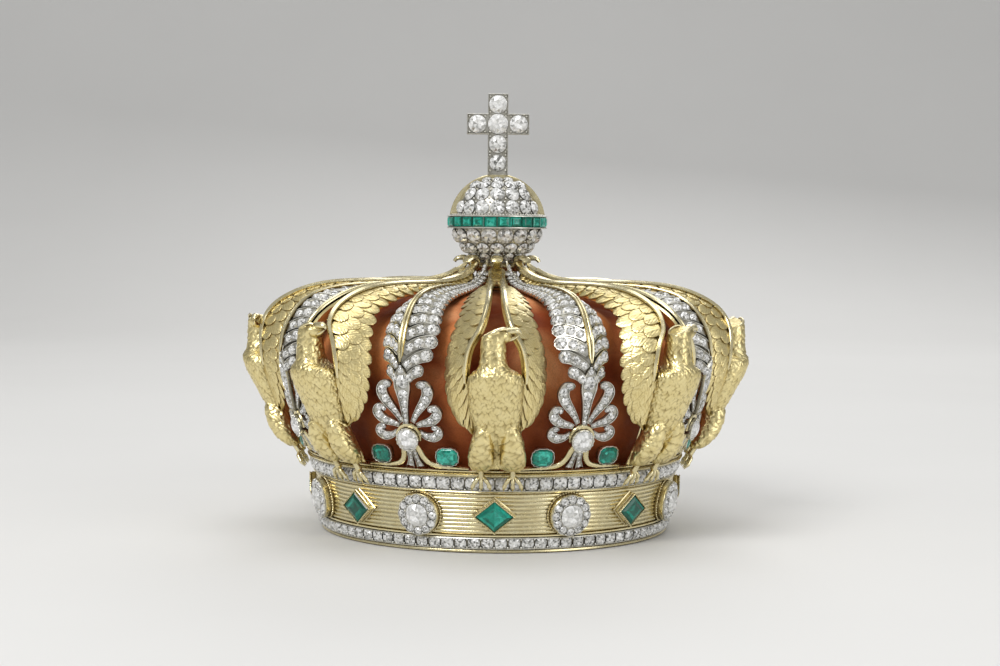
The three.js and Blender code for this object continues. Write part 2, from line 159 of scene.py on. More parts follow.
class Shape:
    """Points and faces of one piece.

    relief says how far each point stands clear of the piece's hollows, which the metals' patina and painted
    shade follow;
    on the velvet cap it holds painted highlight and shade instead. grain is a distance across the strokes
    engraved in it.
    tone is a number per face that the stones read: painted reflections on their facets, and an emerald's own
    green.
    """

    def __init__(self):
        self.points = []
        self.relief = []
        self.grain = []
        self.faces = []
        self.tone = []

    def add(self, points, faces, tone=0.5, relief=1.0, grain=0.0):
        start = len(self.points)
        self.points.extend(np.asarray(points, float).tolist())
        self.relief.extend(np.broadcast_to(relief, len(points)).tolist())
        self.grain.extend(np.broadcast_to(grain, len(points)).tolist())
        self.faces.extend([start + i for i in face] for face in faces)
        self.tone.extend(np.broadcast_to(tone, len(faces)).tolist())

    def add_shape(self, other, mirror=False):
        """Adds another shape, or its mirror image across the arch."""
        points = np.asarray(other.points) * (np.array([-1, 1, 1]) if mirror else 1)
        faces = [face[::-1] for face in other.faces] if mirror else other.faces
        self.add(points, faces, other.tone, other.relief, other.grain)

    def loft(self, rings, closed=False, relief=1.0):
        """A skin over rings of points, joined to the first ring again if closed, else capped at both ends."""
        count, sides = len(rings), len(rings[0])
        faces = []
        for row in range(count if closed else count - 1):
            faces += joined(row * sides, (row + 1) % count * sides, sides)
        if not closed:
            faces += [list(range(sides))[::-1], list(range((count - 1) * sides, count * sides))]
        self.add(np.concatenate(rings), faces, relief=np.broadcast_to(relief, (count, sides)).ravel())

    def sheet(self, grid, relief=1.0, grain=0.0):
        """An open skin over a grid of points, rows by columns."""
        rows, columns = grid.shape[:2]
        relief, grain = (np.broadcast_to(value, (rows, columns)).ravel() for value in (relief, grain))
        faces = [
            [r * columns + c, r * columns + c + 1, (r + 1) * columns + c + 1, (r + 1) * columns + c]
            for r in range(rows - 1)
            for c in range(columns - 1)
        ]
        self.add(grid.reshape(-1, 3), faces, relief=relief, grain=grain)

    def lathe(self, profile, sides):
        """A ring turned about the crown's axis from a closed profile of (radius, height, relief) points."""
        radius, height, relief = np.array([(*point, 1.0)[:3] for point in profile], float).T
        angles = np.arange(sides) * 2 * math.pi / sides
        rings = [np.stack([radius * math.sin(a), -radius * math.cos(a), height], axis=1) for a in angles]
        self.loft(rings, closed=True, relief=relief)
        return self

    def wall(self, plane, outline, levels):
        """A solid over an outline, from (growth of the outline, height, relief) levels."""
        reach = np.linalg.norm(outline, axis=1, keepdims=True)
        rings = [plane(outline * (1 + grow / reach), height) for grow, height, _ in levels]
        self.loft(rings, relief=np.array([[relief] for _, _, relief in levels]))

    def sweep(self, path, normals, section, widths, heights):
        """A section of (across, up, relief) points carried along a path, facing its normal or normals."""
        path = np.asarray(path, float)
        section = np.array([(*point, 1.0)[:3] for point in section], float)
        widths, heights = (np.broadcast_to(size, len(path))[:, None, None] for size in (widths, heights))
        forward = unit(np.gradient(path, axis=0))
        side = unit(np.cross(forward, normals))
        up = np.cross(side, forward)
        sideways, upwards = section[:, :1] * widths * side[:, None], section[:, 1:2] * heights * up[:, None]
        self.loft(path[:, None] + sideways + upwards, relief=section[:, 2])

    def bar(self, line, facing, section, widths, heights, count=12):
        """A section swept along a curve. A size is a number, a list, or a (shares, values) pair."""
        spots = np.linspace(0, 1, count)
        sizes = [np.interp(spots, *size) if isinstance(size, tuple) else size for size in (widths, heights)]
        self.sweep(line(spots), facing, section, *sizes)

    def bead(self, centre, radius, normal=UP):
        """A small grain of metal."""
        plane = Plane(centre, normal)
        levels = ((-0.3, 0.95), (0.35, 0.93), (0.8, 0.58))
        rings = [plane(circle(6, radius * share), radius * up) for up, share in levels]
        faces = joined(0, 6, 6) + joined(6, 12, 6) + fan(12, 18, 6)
        relief = [0.2] * 6 + [0.9] * 6 + [1.0] * 7
        self.add(np.concatenate([*rings, plane(height=radius)]), faces, relief=relief)

    def beads(self, spots, radius, normal=UP):
        for spot in spots:
            self.bead(spot, radius, normal)


OUT = at(0, 1, 0)
ROUND_BAR = circle(8)
FLAT_BAR = [(-1, 0), (-0.92, 0.6), (-0.6, 1), (0.6, 1), (0.92, 0.6), (1, 0), (0.8, -0.7), (-0.8, -0.7)][::-1]
RIM = [(-1, -0.8, 0), (-1, 0.4, 0.6), (-0.97, 0.85, 1), (-0.88, 0.85, 1), (-0.8, 0.25, 0.45)]
CHANNEL = [(-x, y, relief) for x, y, relief in RIM] + RIM[::-1]


# ---- stones ----

rng = np.random.default_rng(7)
# The girdle's skirt facets are painted dark, as painted shade round each stone's rim.
GIRDLE_PAINTED_SHADE = 0.1


def facet_painted_reflections(count):
    """Painted reflections on a stone's facets: mostly bright, some grey, some dark."""
    pick = rng.random(count)
    light = rng.random(count)
    grey_or_dark = np.where(pick < 0.82, 0.5 + 0.3 * light, 0.12 + 0.3 * light)
    return np.where(pick < 0.55, 0.82 + 0.18 * light, grey_or_dark)


def brilliant(shape, centre, normal, radius, squareness=0.0, stretch=1.0, sides=8, lift=0.42):
    """A cut stone seen from above: a faceted table, star facets, kites and girdle facets."""
    plane = Plane(centre, normal)
    roll = 0.0 if squareness else rng.random() * 2 * math.pi
    power = 2 + 3.5 * squareness

    def ring(count, share, height, offset=0.0):
        x, y = circle(count, 1.0, roll + offset).T
        reach = radius * share * (np.abs(x) ** power + np.abs(y) ** power) ** (-1 / power)
        return plane(np.stack([reach * x * stretch, reach * y], axis=1), height * radius)

    points = [
        plane(height=(lift - 0.1) * radius),
        ring(sides, 0.5, lift),
        ring(sides, 0.74, lift * 0.72, math.pi / sides),
        ring(2 * sides, 1.0, 0.0),
        ring(2 * sides, 0.9, -0.28),
    ]
    table, star, girdle, skirt = 1, 1 + sides, 1 + 2 * sides, 1 + 4 * sides
    faces = []
    for k in range(sides):
        after = (k + 1) % sides
        corner = girdle + (2 * k + 2) % (2 * sides)
        middle = girdle + 2 * k + 1
        faces += [[0, table + k, table + after], [table + k, star + k, table + after]]
        faces += [[table + after, star + k, corner], [table + after, corner, star + after]]
        faces += [[star + k, middle, corner], [star + k, middle - 1, middle]]
    # Stones over 2.5 mm get a painted highlight that lifts all their facets.
    shine = 0.6 * np.clip((radius - 2.5) / 0.3, 0, 1)
    tones = list(shine + (1 - shine) * facet_painted_reflections(len(faces)))
    for k in range(2 * sides):
        after = (k + 1) % (2 * sides)
        faces.append([girdle + k, skirt + k, skirt + after, girdle + after])
    shape.add(np.concatenate(points), faces, tones + [GIRDLE_PAINTED_SHADE] * (2 * sides))


def small_stone(shape, centre, normal, radius):
    """A small rose of facets round a table, for stones too small to show more."""
    plane = Plane(centre, normal)
    roll = rng.random() * 6.28
    points = [plane(height=0.36 * radius)]
    for share, height, start in ((0.5, 0.4, 0), (1.0, 0.0, math.pi / 6), (0.9, -0.3, math.pi / 6)):
        points.append(plane(circle(6, radius * share, roll + start), height * radius))
    faces, tones = [], []
    for k in range(6):
        after = (k + 1) % 6
        faces += [[0, 1 + k, 1 + after], [1 + k, 7 + k, 1 + after], [1 + after, 7 + k, 7 + after]]
        faces.append([7 + k, 13 + k, 13 + after, 7 + after])
        tones += [*(0.3 + 0.7 * facet_painted_reflections(3)), GIRDLE_PAINTED_SHADE]
    shape.add(np.concatenate(points), faces, tones)


def diamond(shape, centre, normal, radius, **cut):
    if radius < 0.75:
        small_stone(shape, centre, normal, radius)
    else:
        brilliant(shape, centre, normal, radius, **cut)


def step_cut(shape, plane, outline, height, tone=0.5):
    """A step-cut stone over an outline of (across, up) points: rings of facets that rise to a table."""
    outline = np.asarray(outline, float)
    count = len(outline)
    steps = ((0.92, -0.7), (1.0, 0.0), (0.86, 0.5), (0.64, 0.85), (0.42, 1.0))
    points = [plane(outline * share, level * height) for share, level in steps]
    points.append(plane(height=0.96 * height))
    faces, tones = [], []
    # Facets get random painted reflections round the stone's own tone, the steps painted lighter towards the
    # table.
    for row in range(len(steps) - 1):
        faces += joined(row * count, (row + 1) * count, count)
        tones.extend(tone + 0.65 * (rng.random(count) - 0.5) + 0.08 * (row - 1.5))
    last = (len(steps) - 1) * count
    faces += fan(last, last + count, count)
    tones.extend(tone + 0.4 * (rng.random(count) - 0.3))
    shape.add(np.concatenate(points), faces, np.clip(tones, 0, 1))


# ---- materials ----


class Nodes:
    """A material's node tree, with short calls for the nodes that this file uses."""

    def __init__(self, name):
        self.material = bpy.data.materials.new(name)
        self.material.use_nodes = True
        self.tree = self.material.node_tree
        self.shader = self.tree.nodes["Principled BSDF"]
        self.place = self.new("TexCoord").outputs["Object"]

    def put(self, node, socket, value):
        """Links an output to a node's input, or sets the input to a number or a colour."""
        if isinstance(value, bpy.types.NodeSocket):
            self.tree.links.new(value, node.inputs[socket])
        else:
            node.inputs[socket].default_value = (*value, 1) if isinstance(value, tuple) else value

    def new(self, kind, *ordered, **named):
        """A node with its inputs filled in, by order or by name."""
        node = self.tree.nodes.new("ShaderNode" + kind)
        for socket, value in (*enumerate(ordered), *named.items()):
            self.put(node, socket, value)
        return node

    def set(self, **values):
        for name, value in values.items():
            self.put(self.shader, name.replace("_", " "), value)
        return self

    def noise(self, scale, detail=3.0, roughness=0.55, distortion=0.0):
        node = self.new("TexNoise", self.place, Scale=scale, Detail=detail)
        self.put(node, "Roughness", roughness)
        self.put(node, "Distortion", distortion)
        return node.outputs["Fac"]

    def cells(self, scale):
        return self.new("TexVoronoi", self.place, Scale=scale).outputs["Distance"]

    def attribute(self, name):
        node = self.new("Attribute")
        node.attribute_name = name
        return node.outputs["Fac"]

    def ramp(self, factor, *stops):
        node = self.new("ValToRGB", factor)
        elements = node.color_ramp.elements
        while len(elements) < len(stops):
            elements.new(0.5)
        for element, (position, colour) in zip(elements, stops):
            element.position = position
            element.color = (*np.broadcast_to(colour, 3), 1)
        return node.outputs["Color"]

    def mix(self, factor, a, b, blend="MIX"):
        node = self.new("Mix")
        node.data_type = "RGBA"
        node.blend_type = blend
        for index, value in ((0, factor), (6, a), (7, b)):
            self.put(node, index, value)
        return node.outputs[2]

    def patina_and_painted_shade(self, dark, base, reach):
        """The base colour, darkened in the mesh's hollows as patina plus painted shade, and darkened further
        as painted shade wherever other pieces stand close.
        """
        hollow = self.ramp(self.attribute("relief"), (0.05, 0.0), (0.8, 1.0))
        colour = self.mix(hollow, dark, base)
        # Painted shade from ambient occlusion, where other pieces stand close.
        near = self.new("AmbientOcclusion", Distance=reach)
        near.samples = 4
        return self.mix(self.ramp(near.outputs["AO"], (0.15, 0.0), (0.85, 1.0)), dark, colour)

    def times(self, a, b):
        node = self.new("Math", a, b)
        node.operation = "MULTIPLY"
        return node.outputs[0]

    def strokes(self, pitch):
        """Engraved lines along the mesh's grain, uneven in width. A mesh without grain has none."""
        wave = self.new("Math")
        wave.operation = "SINE"
        uneven = self.ramp(self.noise(500, 2), (0.3, 0.72), (0.7, 1.0))
        self.put(wave, 0, self.times(self.times(self.attribute("grain"), 2 * math.pi / pitch), uneven))
        return wave.outputs[0]

    def bump(self, height, strength, distance=0.0002, under=None):
        """Bumps of a height, on top of those of another bump if one is under them."""
        node = self.new("Bump", Strength=strength, Distance=distance, Height=height)
        if under is not None:
            self.put(node, "Normal", under)
        return node.outputs["Normal"]

    def finish(self, colour, roughness, normal=None):
        self.put(self.shader, "Base Color", colour)
        if roughness is not None:
            self.put(self.shader, "Roughness", roughness)
        if normal is not None:
            self.put(self.shader, "Normal", normal)
        return self.material


def polished_gold():
    n = Nodes("polished_gold").set(Metallic=1.0)
    base = n.ramp(n.noise(260, 4), (0.3, (0.76, 0.66, 0.38)), (0.7, (0.87, 0.79, 0.51)))
    roughness = n.ramp(n.noise(700, 5), (0.3, 0.19), (0.75, 0.33))
    # Painted shade, with patina, in hollows and where other pieces stand close.
    colour = n.patina_and_painted_shade((0.19, 0.125, 0.035), base, 0.001)
    return n.finish(colour, roughness, n.bump(n.noise(2600, 2), 0.12, 0.00008))


def chased_gold():
    n = Nodes("chased_gold").set(Metallic=1.0)
    base = n.ramp(n.noise(420, 5), (0.3, (0.80, 0.67, 0.32)), (0.7, (0.90, 0.78, 0.42)))
    roughness = n.ramp(n.noise(900, 4), (0.3, 0.27), (0.75, 0.42))
    strokes = n.strokes(0.55)
    base = n.mix(n.ramp(strokes, (0.0, 0.0), (0.9, 0.5)), base, (0.60, 0.46, 0.19))
    grain = n.bump(strokes, 0.15, 0.0001)
    grain = n.bump(n.noise(420, 5, 0.6, 0.8), 0.25, 0.0003, grain)
    # Painted shade, with patina, in hollows and where other pieces stand close.
    colour = n.patina_and_painted_shade((0.20, 0.125, 0.03), base, 0.002)
    return n.finish(colour, roughness, n.bump(n.noise(1100, 3), 0.35, 0.0002, grain))


def silver():
    n = Nodes("silver").set(Metallic=1.0)
    base = n.ramp(n.noise(500, 4), (0.3, (0.62, 0.60, 0.52)), (0.7, (0.84, 0.83, 0.77)))
    roughness = n.ramp(n.noise(900, 4), (0.3, 0.24), (0.75, 0.42))
    # Painted shade, with patina, in hollows and where other pieces stand close.
    colour = n.patina_and_painted_shade((0.17, 0.155, 0.115), base, 0.0005)
    return n.finish(colour, roughness, n.bump(n.noise(2200, 2), 0.15, 0.00008))


def diamonds():
    n = Nodes("diamond").set(IOR=2.1, Metallic=0.0)
    # The facet colours are painted reflections: dark, grey, light and bright, picked by each facet's tone.
    dark, grey = (0.05, 0.05, 0.045), (0.27, 0.27, 0.25)
    light, bright = (0.62, 0.62, 0.60), (0.93, 0.93, 0.92)
    colour = n.ramp(n.attribute("tone"), (0.0, dark), (0.4, grey), (0.75, light), (1.0, bright))
    speck = n.ramp(n.noise(1500, 2), (0.35, 0.7), (0.6, 1.0))
    colour = n.mix(1.0, colour, speck, "MULTIPLY")
    return n.finish(colour, n.ramp(n.noise(600, 1), (0.3, 0.04), (0.7, 0.12)))


def emeralds():
    n = Nodes("emerald").set(IOR=1.5, Metallic=0.0, Coat_Weight=0.1, Coat_Roughness=0.03)
    # The stone's own green, from deep to light, with painted reflections, picked by each facet's tone.
    deep, dark = (0.001, 0.040, 0.024), (0.002, 0.14, 0.092)
    green, light = (0.003, 0.33, 0.235), (0.06, 0.58, 0.45)
    colour = n.ramp(n.attribute("tone"), (0.0, deep), (0.4, dark), (0.75, green), (1.0, light))
    garden = n.ramp(n.noise(900, 5, 0.6, 1.2), (0.35, 0.45), (0.62, 1.0))
    colour = n.mix(1.0, colour, garden, "MULTIPLY")
    return n.finish(colour, n.ramp(n.noise(500, 2), (0.3, 0.05), (0.7, 0.14)))


def velvet():
    n = Nodes("cap_velvet").set(Sheen_Weight=0.22, Sheen_Roughness=0.4, Specular_IOR_Level=0.2)
    n.set(Sheen_Tint=(1.0, 0.5, 0.22))
    broad = n.noise(60, 5, 0.6, 0.6)
    # Painted light on the cap: the light colours are painted highlight on its upper part and fold ridges, the
    # dark ones painted shade lower down and in crease valleys, mixed by the cap's relief.
    dark = n.ramp(broad, (0.35, (0.21, 0.034, 0.008)), (0.65, (0.40, 0.08, 0.02)))
    light = n.ramp(broad, (0.3, (0.46, 0.12, 0.03)), (0.5, (0.75, 0.26, 0.08)), (0.72, (0.95, 0.45, 0.20)))
    base = n.mix(n.attribute("relief"), dark, light)
    pile = n.ramp(n.noise(2600, 3), (0.3, 0.75), (0.7, 1.0))
    roughness = n.ramp(n.noise(300, 3), (0.3, 0.5), (0.7, 0.75))
    colour = n.mix(1.0, base, pile, "MULTIPLY")
    nap = n.noise(3200, 4)
    return n.finish(colour, roughness, n.bump(nap, 0.4, 0.0002, n.bump(broad, 0.5, 0.001)))


def leather():
    n = Nodes("lining_leather").set(Specular_IOR_Level=0.4)
    base = n.ramp(n.noise(90, 5), (0.3, (0.075, 0.028, 0.014)), (0.7, (0.17, 0.07, 0.036)))
    roughness = n.ramp(n.noise(250, 4), (0.3, 0.42), (0.7, 0.66))
    return n.finish(base, roughness, n.bump(n.cells(900), 0.4, 0.0003))


def floor_paint():
    n = Nodes("floor").set(Roughness=0.8)
    colour = n.ramp(n.noise(3, 4), (0.3, (0.70, 0.695, 0.68)), (0.7, (0.73, 0.725, 0.71)))
    return n.finish(colour, None)


GOLD = polished_gold()
CHASED = chased_gold()
SILVER = silver()
DIAMOND = diamonds()
EMERALD = emeralds()
VELVET = velvet()
LEATHER = leather()


# ---- pieces ----


def make_mesh(name, shape, material, angle=38):
    """A mesh in metres, smooth up to an edge angle in degrees. Stones keep flat facets."""
    mesh = bpy.data.meshes.new(name)
    mesh.from_pydata((np.asarray(shape.points) * METRES).tolist(), [], shape.faces)
    for label, domain in (("tone", "FACE"), ("relief", "POINT"), ("grain", "POINT")):
        layer = mesh.attributes.new(label, "FLOAT", domain)
        layer.data.foreach_set("value", np.asarray(getattr(shape, label), np.float32))
    mesh.materials.append(material)
    if material not in (DIAMOND, EMERALD):
        mesh.polygons.foreach_set("use_smooth", [True] * len(mesh.polygons))
        mesh.set_sharp_from_angle(angle=math.radians(angle))
    mesh.update()
    return mesh


def place_piece(name, mesh, node, degrees=0.0):
    """One piece, in place of a CAD node."""
    piece = bpy.data.objects.new(name, mesh)
    bpy.context.scene.collection.objects.link(piece)
    piece.rotation_euler[2] = math.radians(degrees)
    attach(piece, "root")
    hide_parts(node)
    return piece


def make_piece(name, shape, material, node, angle=38):
    """A piece that stands once on the crown's axis."""
    return place_piece(name, make_mesh(name, shape, material, angle), node)


def make_eight(name, shape, material, node, between=False, angle=38):
    """Eight copies round the crown, on the eagles' lines or between them. Each replaces its own CAD node.

    shape is one shape for all of them, or a list of eight.
    """
    shapes = shape if isinstance(shape, list) else [shape]
    meshes = [make_mesh(name, one, material, angle) for one in shapes]
    first = STEP / 2 if between else 0
    for i in range(ARCHES):
        place_piece(f"{name}_{i + 1}", meshes[i % len(meshes)], f"{node}_{i + 1}", first + i * STEP)


# ---- circlet ----

FLUTE_BOTTOM, FLUTE_TOP = 4.7, 17.0
FACE_BOTTOM, FACE_TOP = 51.3, 53.2
FLARE = (FACE_TOP - FACE_BOTTOM) / (FLUTE_TOP - FLUTE_BOTTOM)
SETTING_HEIGHT = 10.8


def face_radius(height):
    """Radius of the band's flared face."""
    return FACE_BOTTOM + FLARE * (height - FLUTE_BOTTOM)


# Where a setting sits on the front of the band.
SEAT = Plane(at(0, face_radius(SETTING_HEIGHT) - 0.2, SETTING_HEIGHT), at(0, 1, -FLARE))


def circlet():
    """The fluted band: a plain rim, ten reeds, and the gallery rail that the arches stand on."""
    profile = [(49.0, 0.0), (50.9, 0.0), (51.3, 0.25), (51.3, 0.75), (51.0, 1.1), (50.2, 1.15, 0)]
    profile += [(50.3, 4.3, 0), (51.4, 4.3), (51.75, 4.55), (51.75, 4.95), (51.3, 5.15, 0)]
    reeds = 10
    pitch = (FLUTE_TOP - FLUTE_BOTTOM - 1.0) / reeds
    for i in range(reeds):
        low = FLUTE_BOTTOM + 0.5 + i * pitch
        for share in (0.02, 0.14, 0.36, 0.64, 0.86, 0.98):
            height = low + share * pitch
            swell = math.sin(math.pi * share) ** 0.6
            profile.append((face_radius(height) - 0.05 + 0.3 * swell, height, 0.45 + 0.7 * swell))
    profile += [(53.3, 16.75, 0), (53.85, 16.8), (53.95, 17.0), (53.85, 17.2), (53.0, 17.25, 0)]
    profile += [(53.2, 21.3, 0), (55.0, 21.3), (55.5, 21.5), (55.7, 21.9), (55.3, 22.3, 0.5)]
    profile += [(55.0, 22.4, 0), (55.35, 22.6), (55.45, 22.95), (55.2, 23.25), (54.6, 23.3)]
    profile += [(51.0, 23.3), (50.6, 23.0), (49.05, 0.3)]
    return Shape().lathe(profile, 256)


def stone_row(count, low, high, bottom_radius, top_radius, stone_radius, squareness):
    """A silver channel round the band and its row of stones, with grains at the corners between them."""
    metal, stones = Shape(), Shape()
    tilt = (top_radius - bottom_radius) / (high - low)

    def radius(height):
        return bottom_radius + tilt * (height - low)

    section = [(-1.6, 0, 0), (-0.1, 0, 0.6), (0, 0.1, 1), (0.05, 0.26, 1), (-0.1, 0.32, 0.6), (-0.7, 0.4, 0)]
    profile = [(radius(low) + x, low + up, relief) for x, up, relief in section]
    profile += [(radius(high) + x, high - up, relief) for x, up, relief in section[::-1]]
    metal.lathe(profile, 160)
    middle = at(0, radius((low + high) / 2) - 0.3, (low + high) / 2)
    for i in range(count):
        turn = 360 * (i + 0.5) / count
        size = stone_radius * (0.96 + 0.06 * rng.random())
        cut = {"squareness": squareness * (0.5 + rng.random()), "stretch": 0.97 + 0.08 * rng.random()}
        brilliant(stones, turned(middle, turn), turned(at(0, 1, -tilt), turn), size, **cut)
        beside = turn + 180 / count
        for height in (low + 0.5, high - 0.5):
            metal.bead(turned(at(0, radius(height) - 0.22, height), beside), GRAIN, turned(OUT, beside))
    return metal, stones


def lozenge_outline(half_width, half_height, along=1):
    corners = np.array([(half_width, 0), (0, half_height), (-half_width, 0), (0, -half_height)], float)
    shares = np.arange(along)[:, None] / along
    return np.concatenate([corners[i] * (1 - shares) + corners[(i + 1) % 4] * shares for i in range(4)])


def lozenge(tone):
    """A lozenge emerald in a stepped gold collet with a grained edge."""
    collet, stone = Shape(), Shape()
    levels = [(0.45, 0.0, 0), (0.45, 0.5, 1), (0.15, 0.75, 0.2), (0.1, 1.3, 0.8), (0.3, 1.5, 1)]
    levels += [(0.25, 1.75, 1), (0.1, 1.9, 0.1), (0.05, 2.5, 0.9), (-0.2, 2.6, 1), (-0.45, 2.1, 0)]
    collet.wall(SEAT, lozenge_outline(5.5, 4.6, 6), levels)
    collet.beads(SEAT(lozenge_outline(5.6, 4.7, 10), 2.45), 0.3, SEAT.normal)
    step_cut(stone, SEAT.raised(2.15), lozenge_outline(5.3, 4.4), 1.0, tone)
    return collet, stone


def cluster():
    """A round diamond in a ring of twelve smaller ones, in a gold collet with a grained foot."""
    gold, metal, stones = Shape(), Shape(), Shape()
    normal = SEAT.normal
    ring = 12
    between = math.pi / ring
    outline = circle(48, 5.75)
    levels = [(0.35, 0.0, 0), (0.35, 0.55, 0.6), (0.05, 0.8, 0)]
    levels += [(-0.05, 1.9, 1), (0.1, 2.3, 1), (-0.1, 2.5, 0.5)]
    gold.wall(SEAT, outline, levels)
    gold.beads(SEAT(circle(46, 6.0), 0.55), 0.33, normal)
    levels = [(-0.2, 2.3, 0), (0.0, 2.6, 0.8), (-0.05, 2.9, 1), (-0.25, 2.9, 1), (-0.4, 2.65, 0)]
    levels += [(-2.1, 2.7, 0), (-2.25, 3.2, 1), (-2.45, 3.2, 1), (-2.7, 2.7, 0)]
    metal.wall(SEAT, scalloped(outline, ring, 0.025), levels)
    for spot in SEAT(circle(ring, 4.5), 2.95):
        brilliant(stones, spot, normal + 0.035 * (spot - SEAT.centre), 1.14, sides=6)
    metal.beads(SEAT(circle(ring, 5.3, between), 2.85), GRAIN, normal)
    metal.beads(SEAT(circle(ring, 3.6, between), 3.1), 0.3, normal)
    brilliant(stones, SEAT(height=3.3)[0], normal, 3.15, squareness=0.12, lift=0.36)
    return gold, metal, stones


make_piece("circlet_band", circlet(), GOLD, "fluted_band", angle=50)
lower = stone_row(88, 1.15, 4.35, 51.75, 52.15, 1.62, 0.3)
upper = stone_row(84, 17.2, 21.35, 53.9, 54.85, 1.86, 0.6)
for place, (metal, stones) in (("lower", lower), ("upper", upper)):
    make_piece(f"{place}_row_channel", metal, SILVER, f"{place}_stone_rail")
    make_piece(f"{place}_row_diamonds", stones, DIAMOND, f"{place}_stone_rail")
lozenges = [lozenge(tone) for tone in (0.66, 0.34, 0.45, 0.3, 0.5, 0.36, 0.42, 0.3)]
make_eight("lozenge_collet", lozenges[0][0], GOLD, "band_emerald", angle=30)
make_eight("lozenge_emerald", [stone for _, stone in lozenges], EMERALD, "band_emerald")
gold, metal, stones = cluster()
make_eight("cluster_collet", gold, GOLD, "diamond_cluster", between=True)
make_eight("cluster_grains", metal, SILVER, "diamond_cluster", between=True)
make_eight("cluster_diamonds", stones, DIAMOND, "diamond_cluster", between=True)


# ---- eagles ----

# Solids that are fused into an eagle, in sections: height, distances out and across, half width, half depth.
TORSO = [
    (28.0, 60.6, 0.4, 0.9, 1.4),
    (30.0, 61.4, 0.4, 2.2, 2.4),
    (32.5, 62.8, 0.35, 3.9, 3.4),
    (35.0, 64.0, 0.3, 5.6, 4.0),
    (38.0, 65.2, 0.2, 6.5, 4.5),
    (41.5, 66.6, 0.1, 7.0, 5.0),
    (45.4, 68.2, 0.0, 7.25, 5.6),
    (48.4, 69.2, 0.0, 7.3, 5.8),
    (49.8, 69.6, 0.0, 6.9, 5.6),
    (50.6, 69.8, -0.15, 5.9, 5.2),
    (51.4, 69.9, -0.4, 4.5, 4.6),
    (52.6, 70.1, -0.65, 3.6, 4.0),
    (54.5, 70.3, -0.75, 3.3, 3.7),
    (57.0, 70.5, -0.75, 3.2, 3.4),
    (59.5, 70.6, -0.7, 3.05, 3.25),
    (61.6, 70.6, -0.5, 2.8, 3.1),
]
THIGH = [
    (23.7, 59.5, 4.1, 1.4, 1.1),
    (24.2, 59.9, 4.2, 2.6, 2.0),
    (25.4, 60.8, 4.25, 3.2, 2.9),
    (27.0, 61.9, 4.25, 3.4, 3.4),
    (29.0, 63.0, 4.2, 3.25, 3.7),
    (32.0, 64.2, 4.0, 2.9, 3.6),
    (34.5, 64.9, 3.7, 2.5, 3.4),
    (36.5, 65.3, 3.4, 1.8, 2.5),
    (38.0, 65.5, 3.2, 0.9, 1.2),
]
TAIL = [
    (23.8, 56.4, 0.4, 5.6, 0.9),
    (27.0, 57.7, 0.4, 5.2, 1.1),
    (31.0, 59.8, 0.4, 4.6, 1.3),
    (36.0, 62.4, 0.4, 3.6, 1.5),
]
LEGS_ASIDE = 0.55
EAGLE_VOXEL = 0.21

# A toe's points: share of its spread, distance out, height. A brow's points: distance across, distance from
# the middle of the head towards the front or the back, height.
TOE = [(0.1, 57.4, 22.0), (0.45, 58.1, 21.1), (0.8, 57.6, 19.9), (1, 56.6, 18.5), (1.02, 55.9, 17.7)]
BROW = [(-3.2, 1.4, 60.2), (-1.6, 2.7, 60.95), (0.6, 2.8, 61.9), (2.0, 2.3, 62.3), (2.9, 1.9, 62.0)]

# The halves of the beak: points along each, then shares of its length with half widths and half heights.
UPPER = [(2.0, 70.9, 61.3), (3.8, 71.0, 61.7), (5.2, 71.1, 61.75), (6.2, 71.1, 61.4), (6.6, 71.1, 60.8)]
LOWER = [(2.0, 70.9, 59.6), (3.6, 71.0, 59.5), (5.0, 71.1, 60.0), (6.0, 71.1, 60.6)]
BEAK = [
    (UPPER, [0, 0.65, 1], [1.2, 0.9, 0.15], [1.45, 1.05, 0.15]),
    (LOWER, [0, 0.6, 1], [0.85, 0.55, 0.15], [1.15, 0.7, 0.15]),
]


def add_limb(shape, sections, sign=1, aside=0.0):
    """A solid through sections, each a soft square, mirrored across the arch if sign is -1."""
    table = np.array(sections)
    rings = []
    for height in np.linspace(table[0, 0], table[-1, 0], 4 * len(table)):
        out, across, width, depth = (np.interp(height, table[:, 0], table[:, k]) for k in (1, 2, 3, 4))
        flat = circle(36)
        flat = flat * ((np.abs(flat) ** 2.3).sum(axis=1, keepdims=True)) ** (-1 / 2.3) * [width, depth]
        rings.append([at(sign * (across + x) + aside, out + y, height) for x, y in flat])
    shape.loft(rings)


def add_egg(shape, centre, half):
    """A rounded solid, from its centre and its half sizes across, out and up."""
    rings = []
    for a in np.radians(np.linspace(-75, 75, 11)):
        flat = centre[:2] + circle(20, math.cos(a)) * half[:2]
        rings.append([at(x, y, centre[2] + half[2] * math.sin(a)) for x, y in flat])
    shape.loft(rings)


def fused(name, shape, voxel):
    """One closed skin round overlapping closed solids, relaxed a little: its points, normals and faces."""
    mesh = bpy.data.meshes.new(name)
    mesh.from_pydata(shape.points, [], shape.faces)
    bm = bmesh.new()
    bm.from_mesh(mesh)
    bmesh.ops.recalc_face_normals(bm, faces=bm.faces)
    bm.to_mesh(mesh)
    bm.free()
    thing = bpy.data.objects.new(name, mesh)
    bpy.context.scene.collection.objects.link(thing)
    remesh = thing.modifiers.new("fuse", "REMESH")
    remesh.mode = "VOXEL"
    remesh.voxel_size = voxel
    relax = thing.modifiers.new("relax", "SMOOTH")
    relax.iterations = 5
    relax.factor = 0.5
    graph = bpy.context.evaluated_depsgraph_get()
    made = bpy.data.meshes.new_from_object(thing.evaluated_get(graph))
    places = np.zeros((2, len(made.vertices) * 3))
    for label, values in zip(("co", "normal"), places):
        made.vertices.foreach_get(label, values)
    faces = [list(p.vertices) for p in made.polygons]
    bpy.data.objects.remove(thing)
    for used in (mesh, made):
        bpy.data.meshes.remove(used)
    return *places.reshape(2, -1, 3), faces


def hashed(a, b, seed):
    """A repeatable scatter in 0..1 for pairs of whole numbers."""
    x = np.sin(a * 127.1 + b * 311.7 + seed * 74.7) * 43758.5453
    return x - np.floor(x)


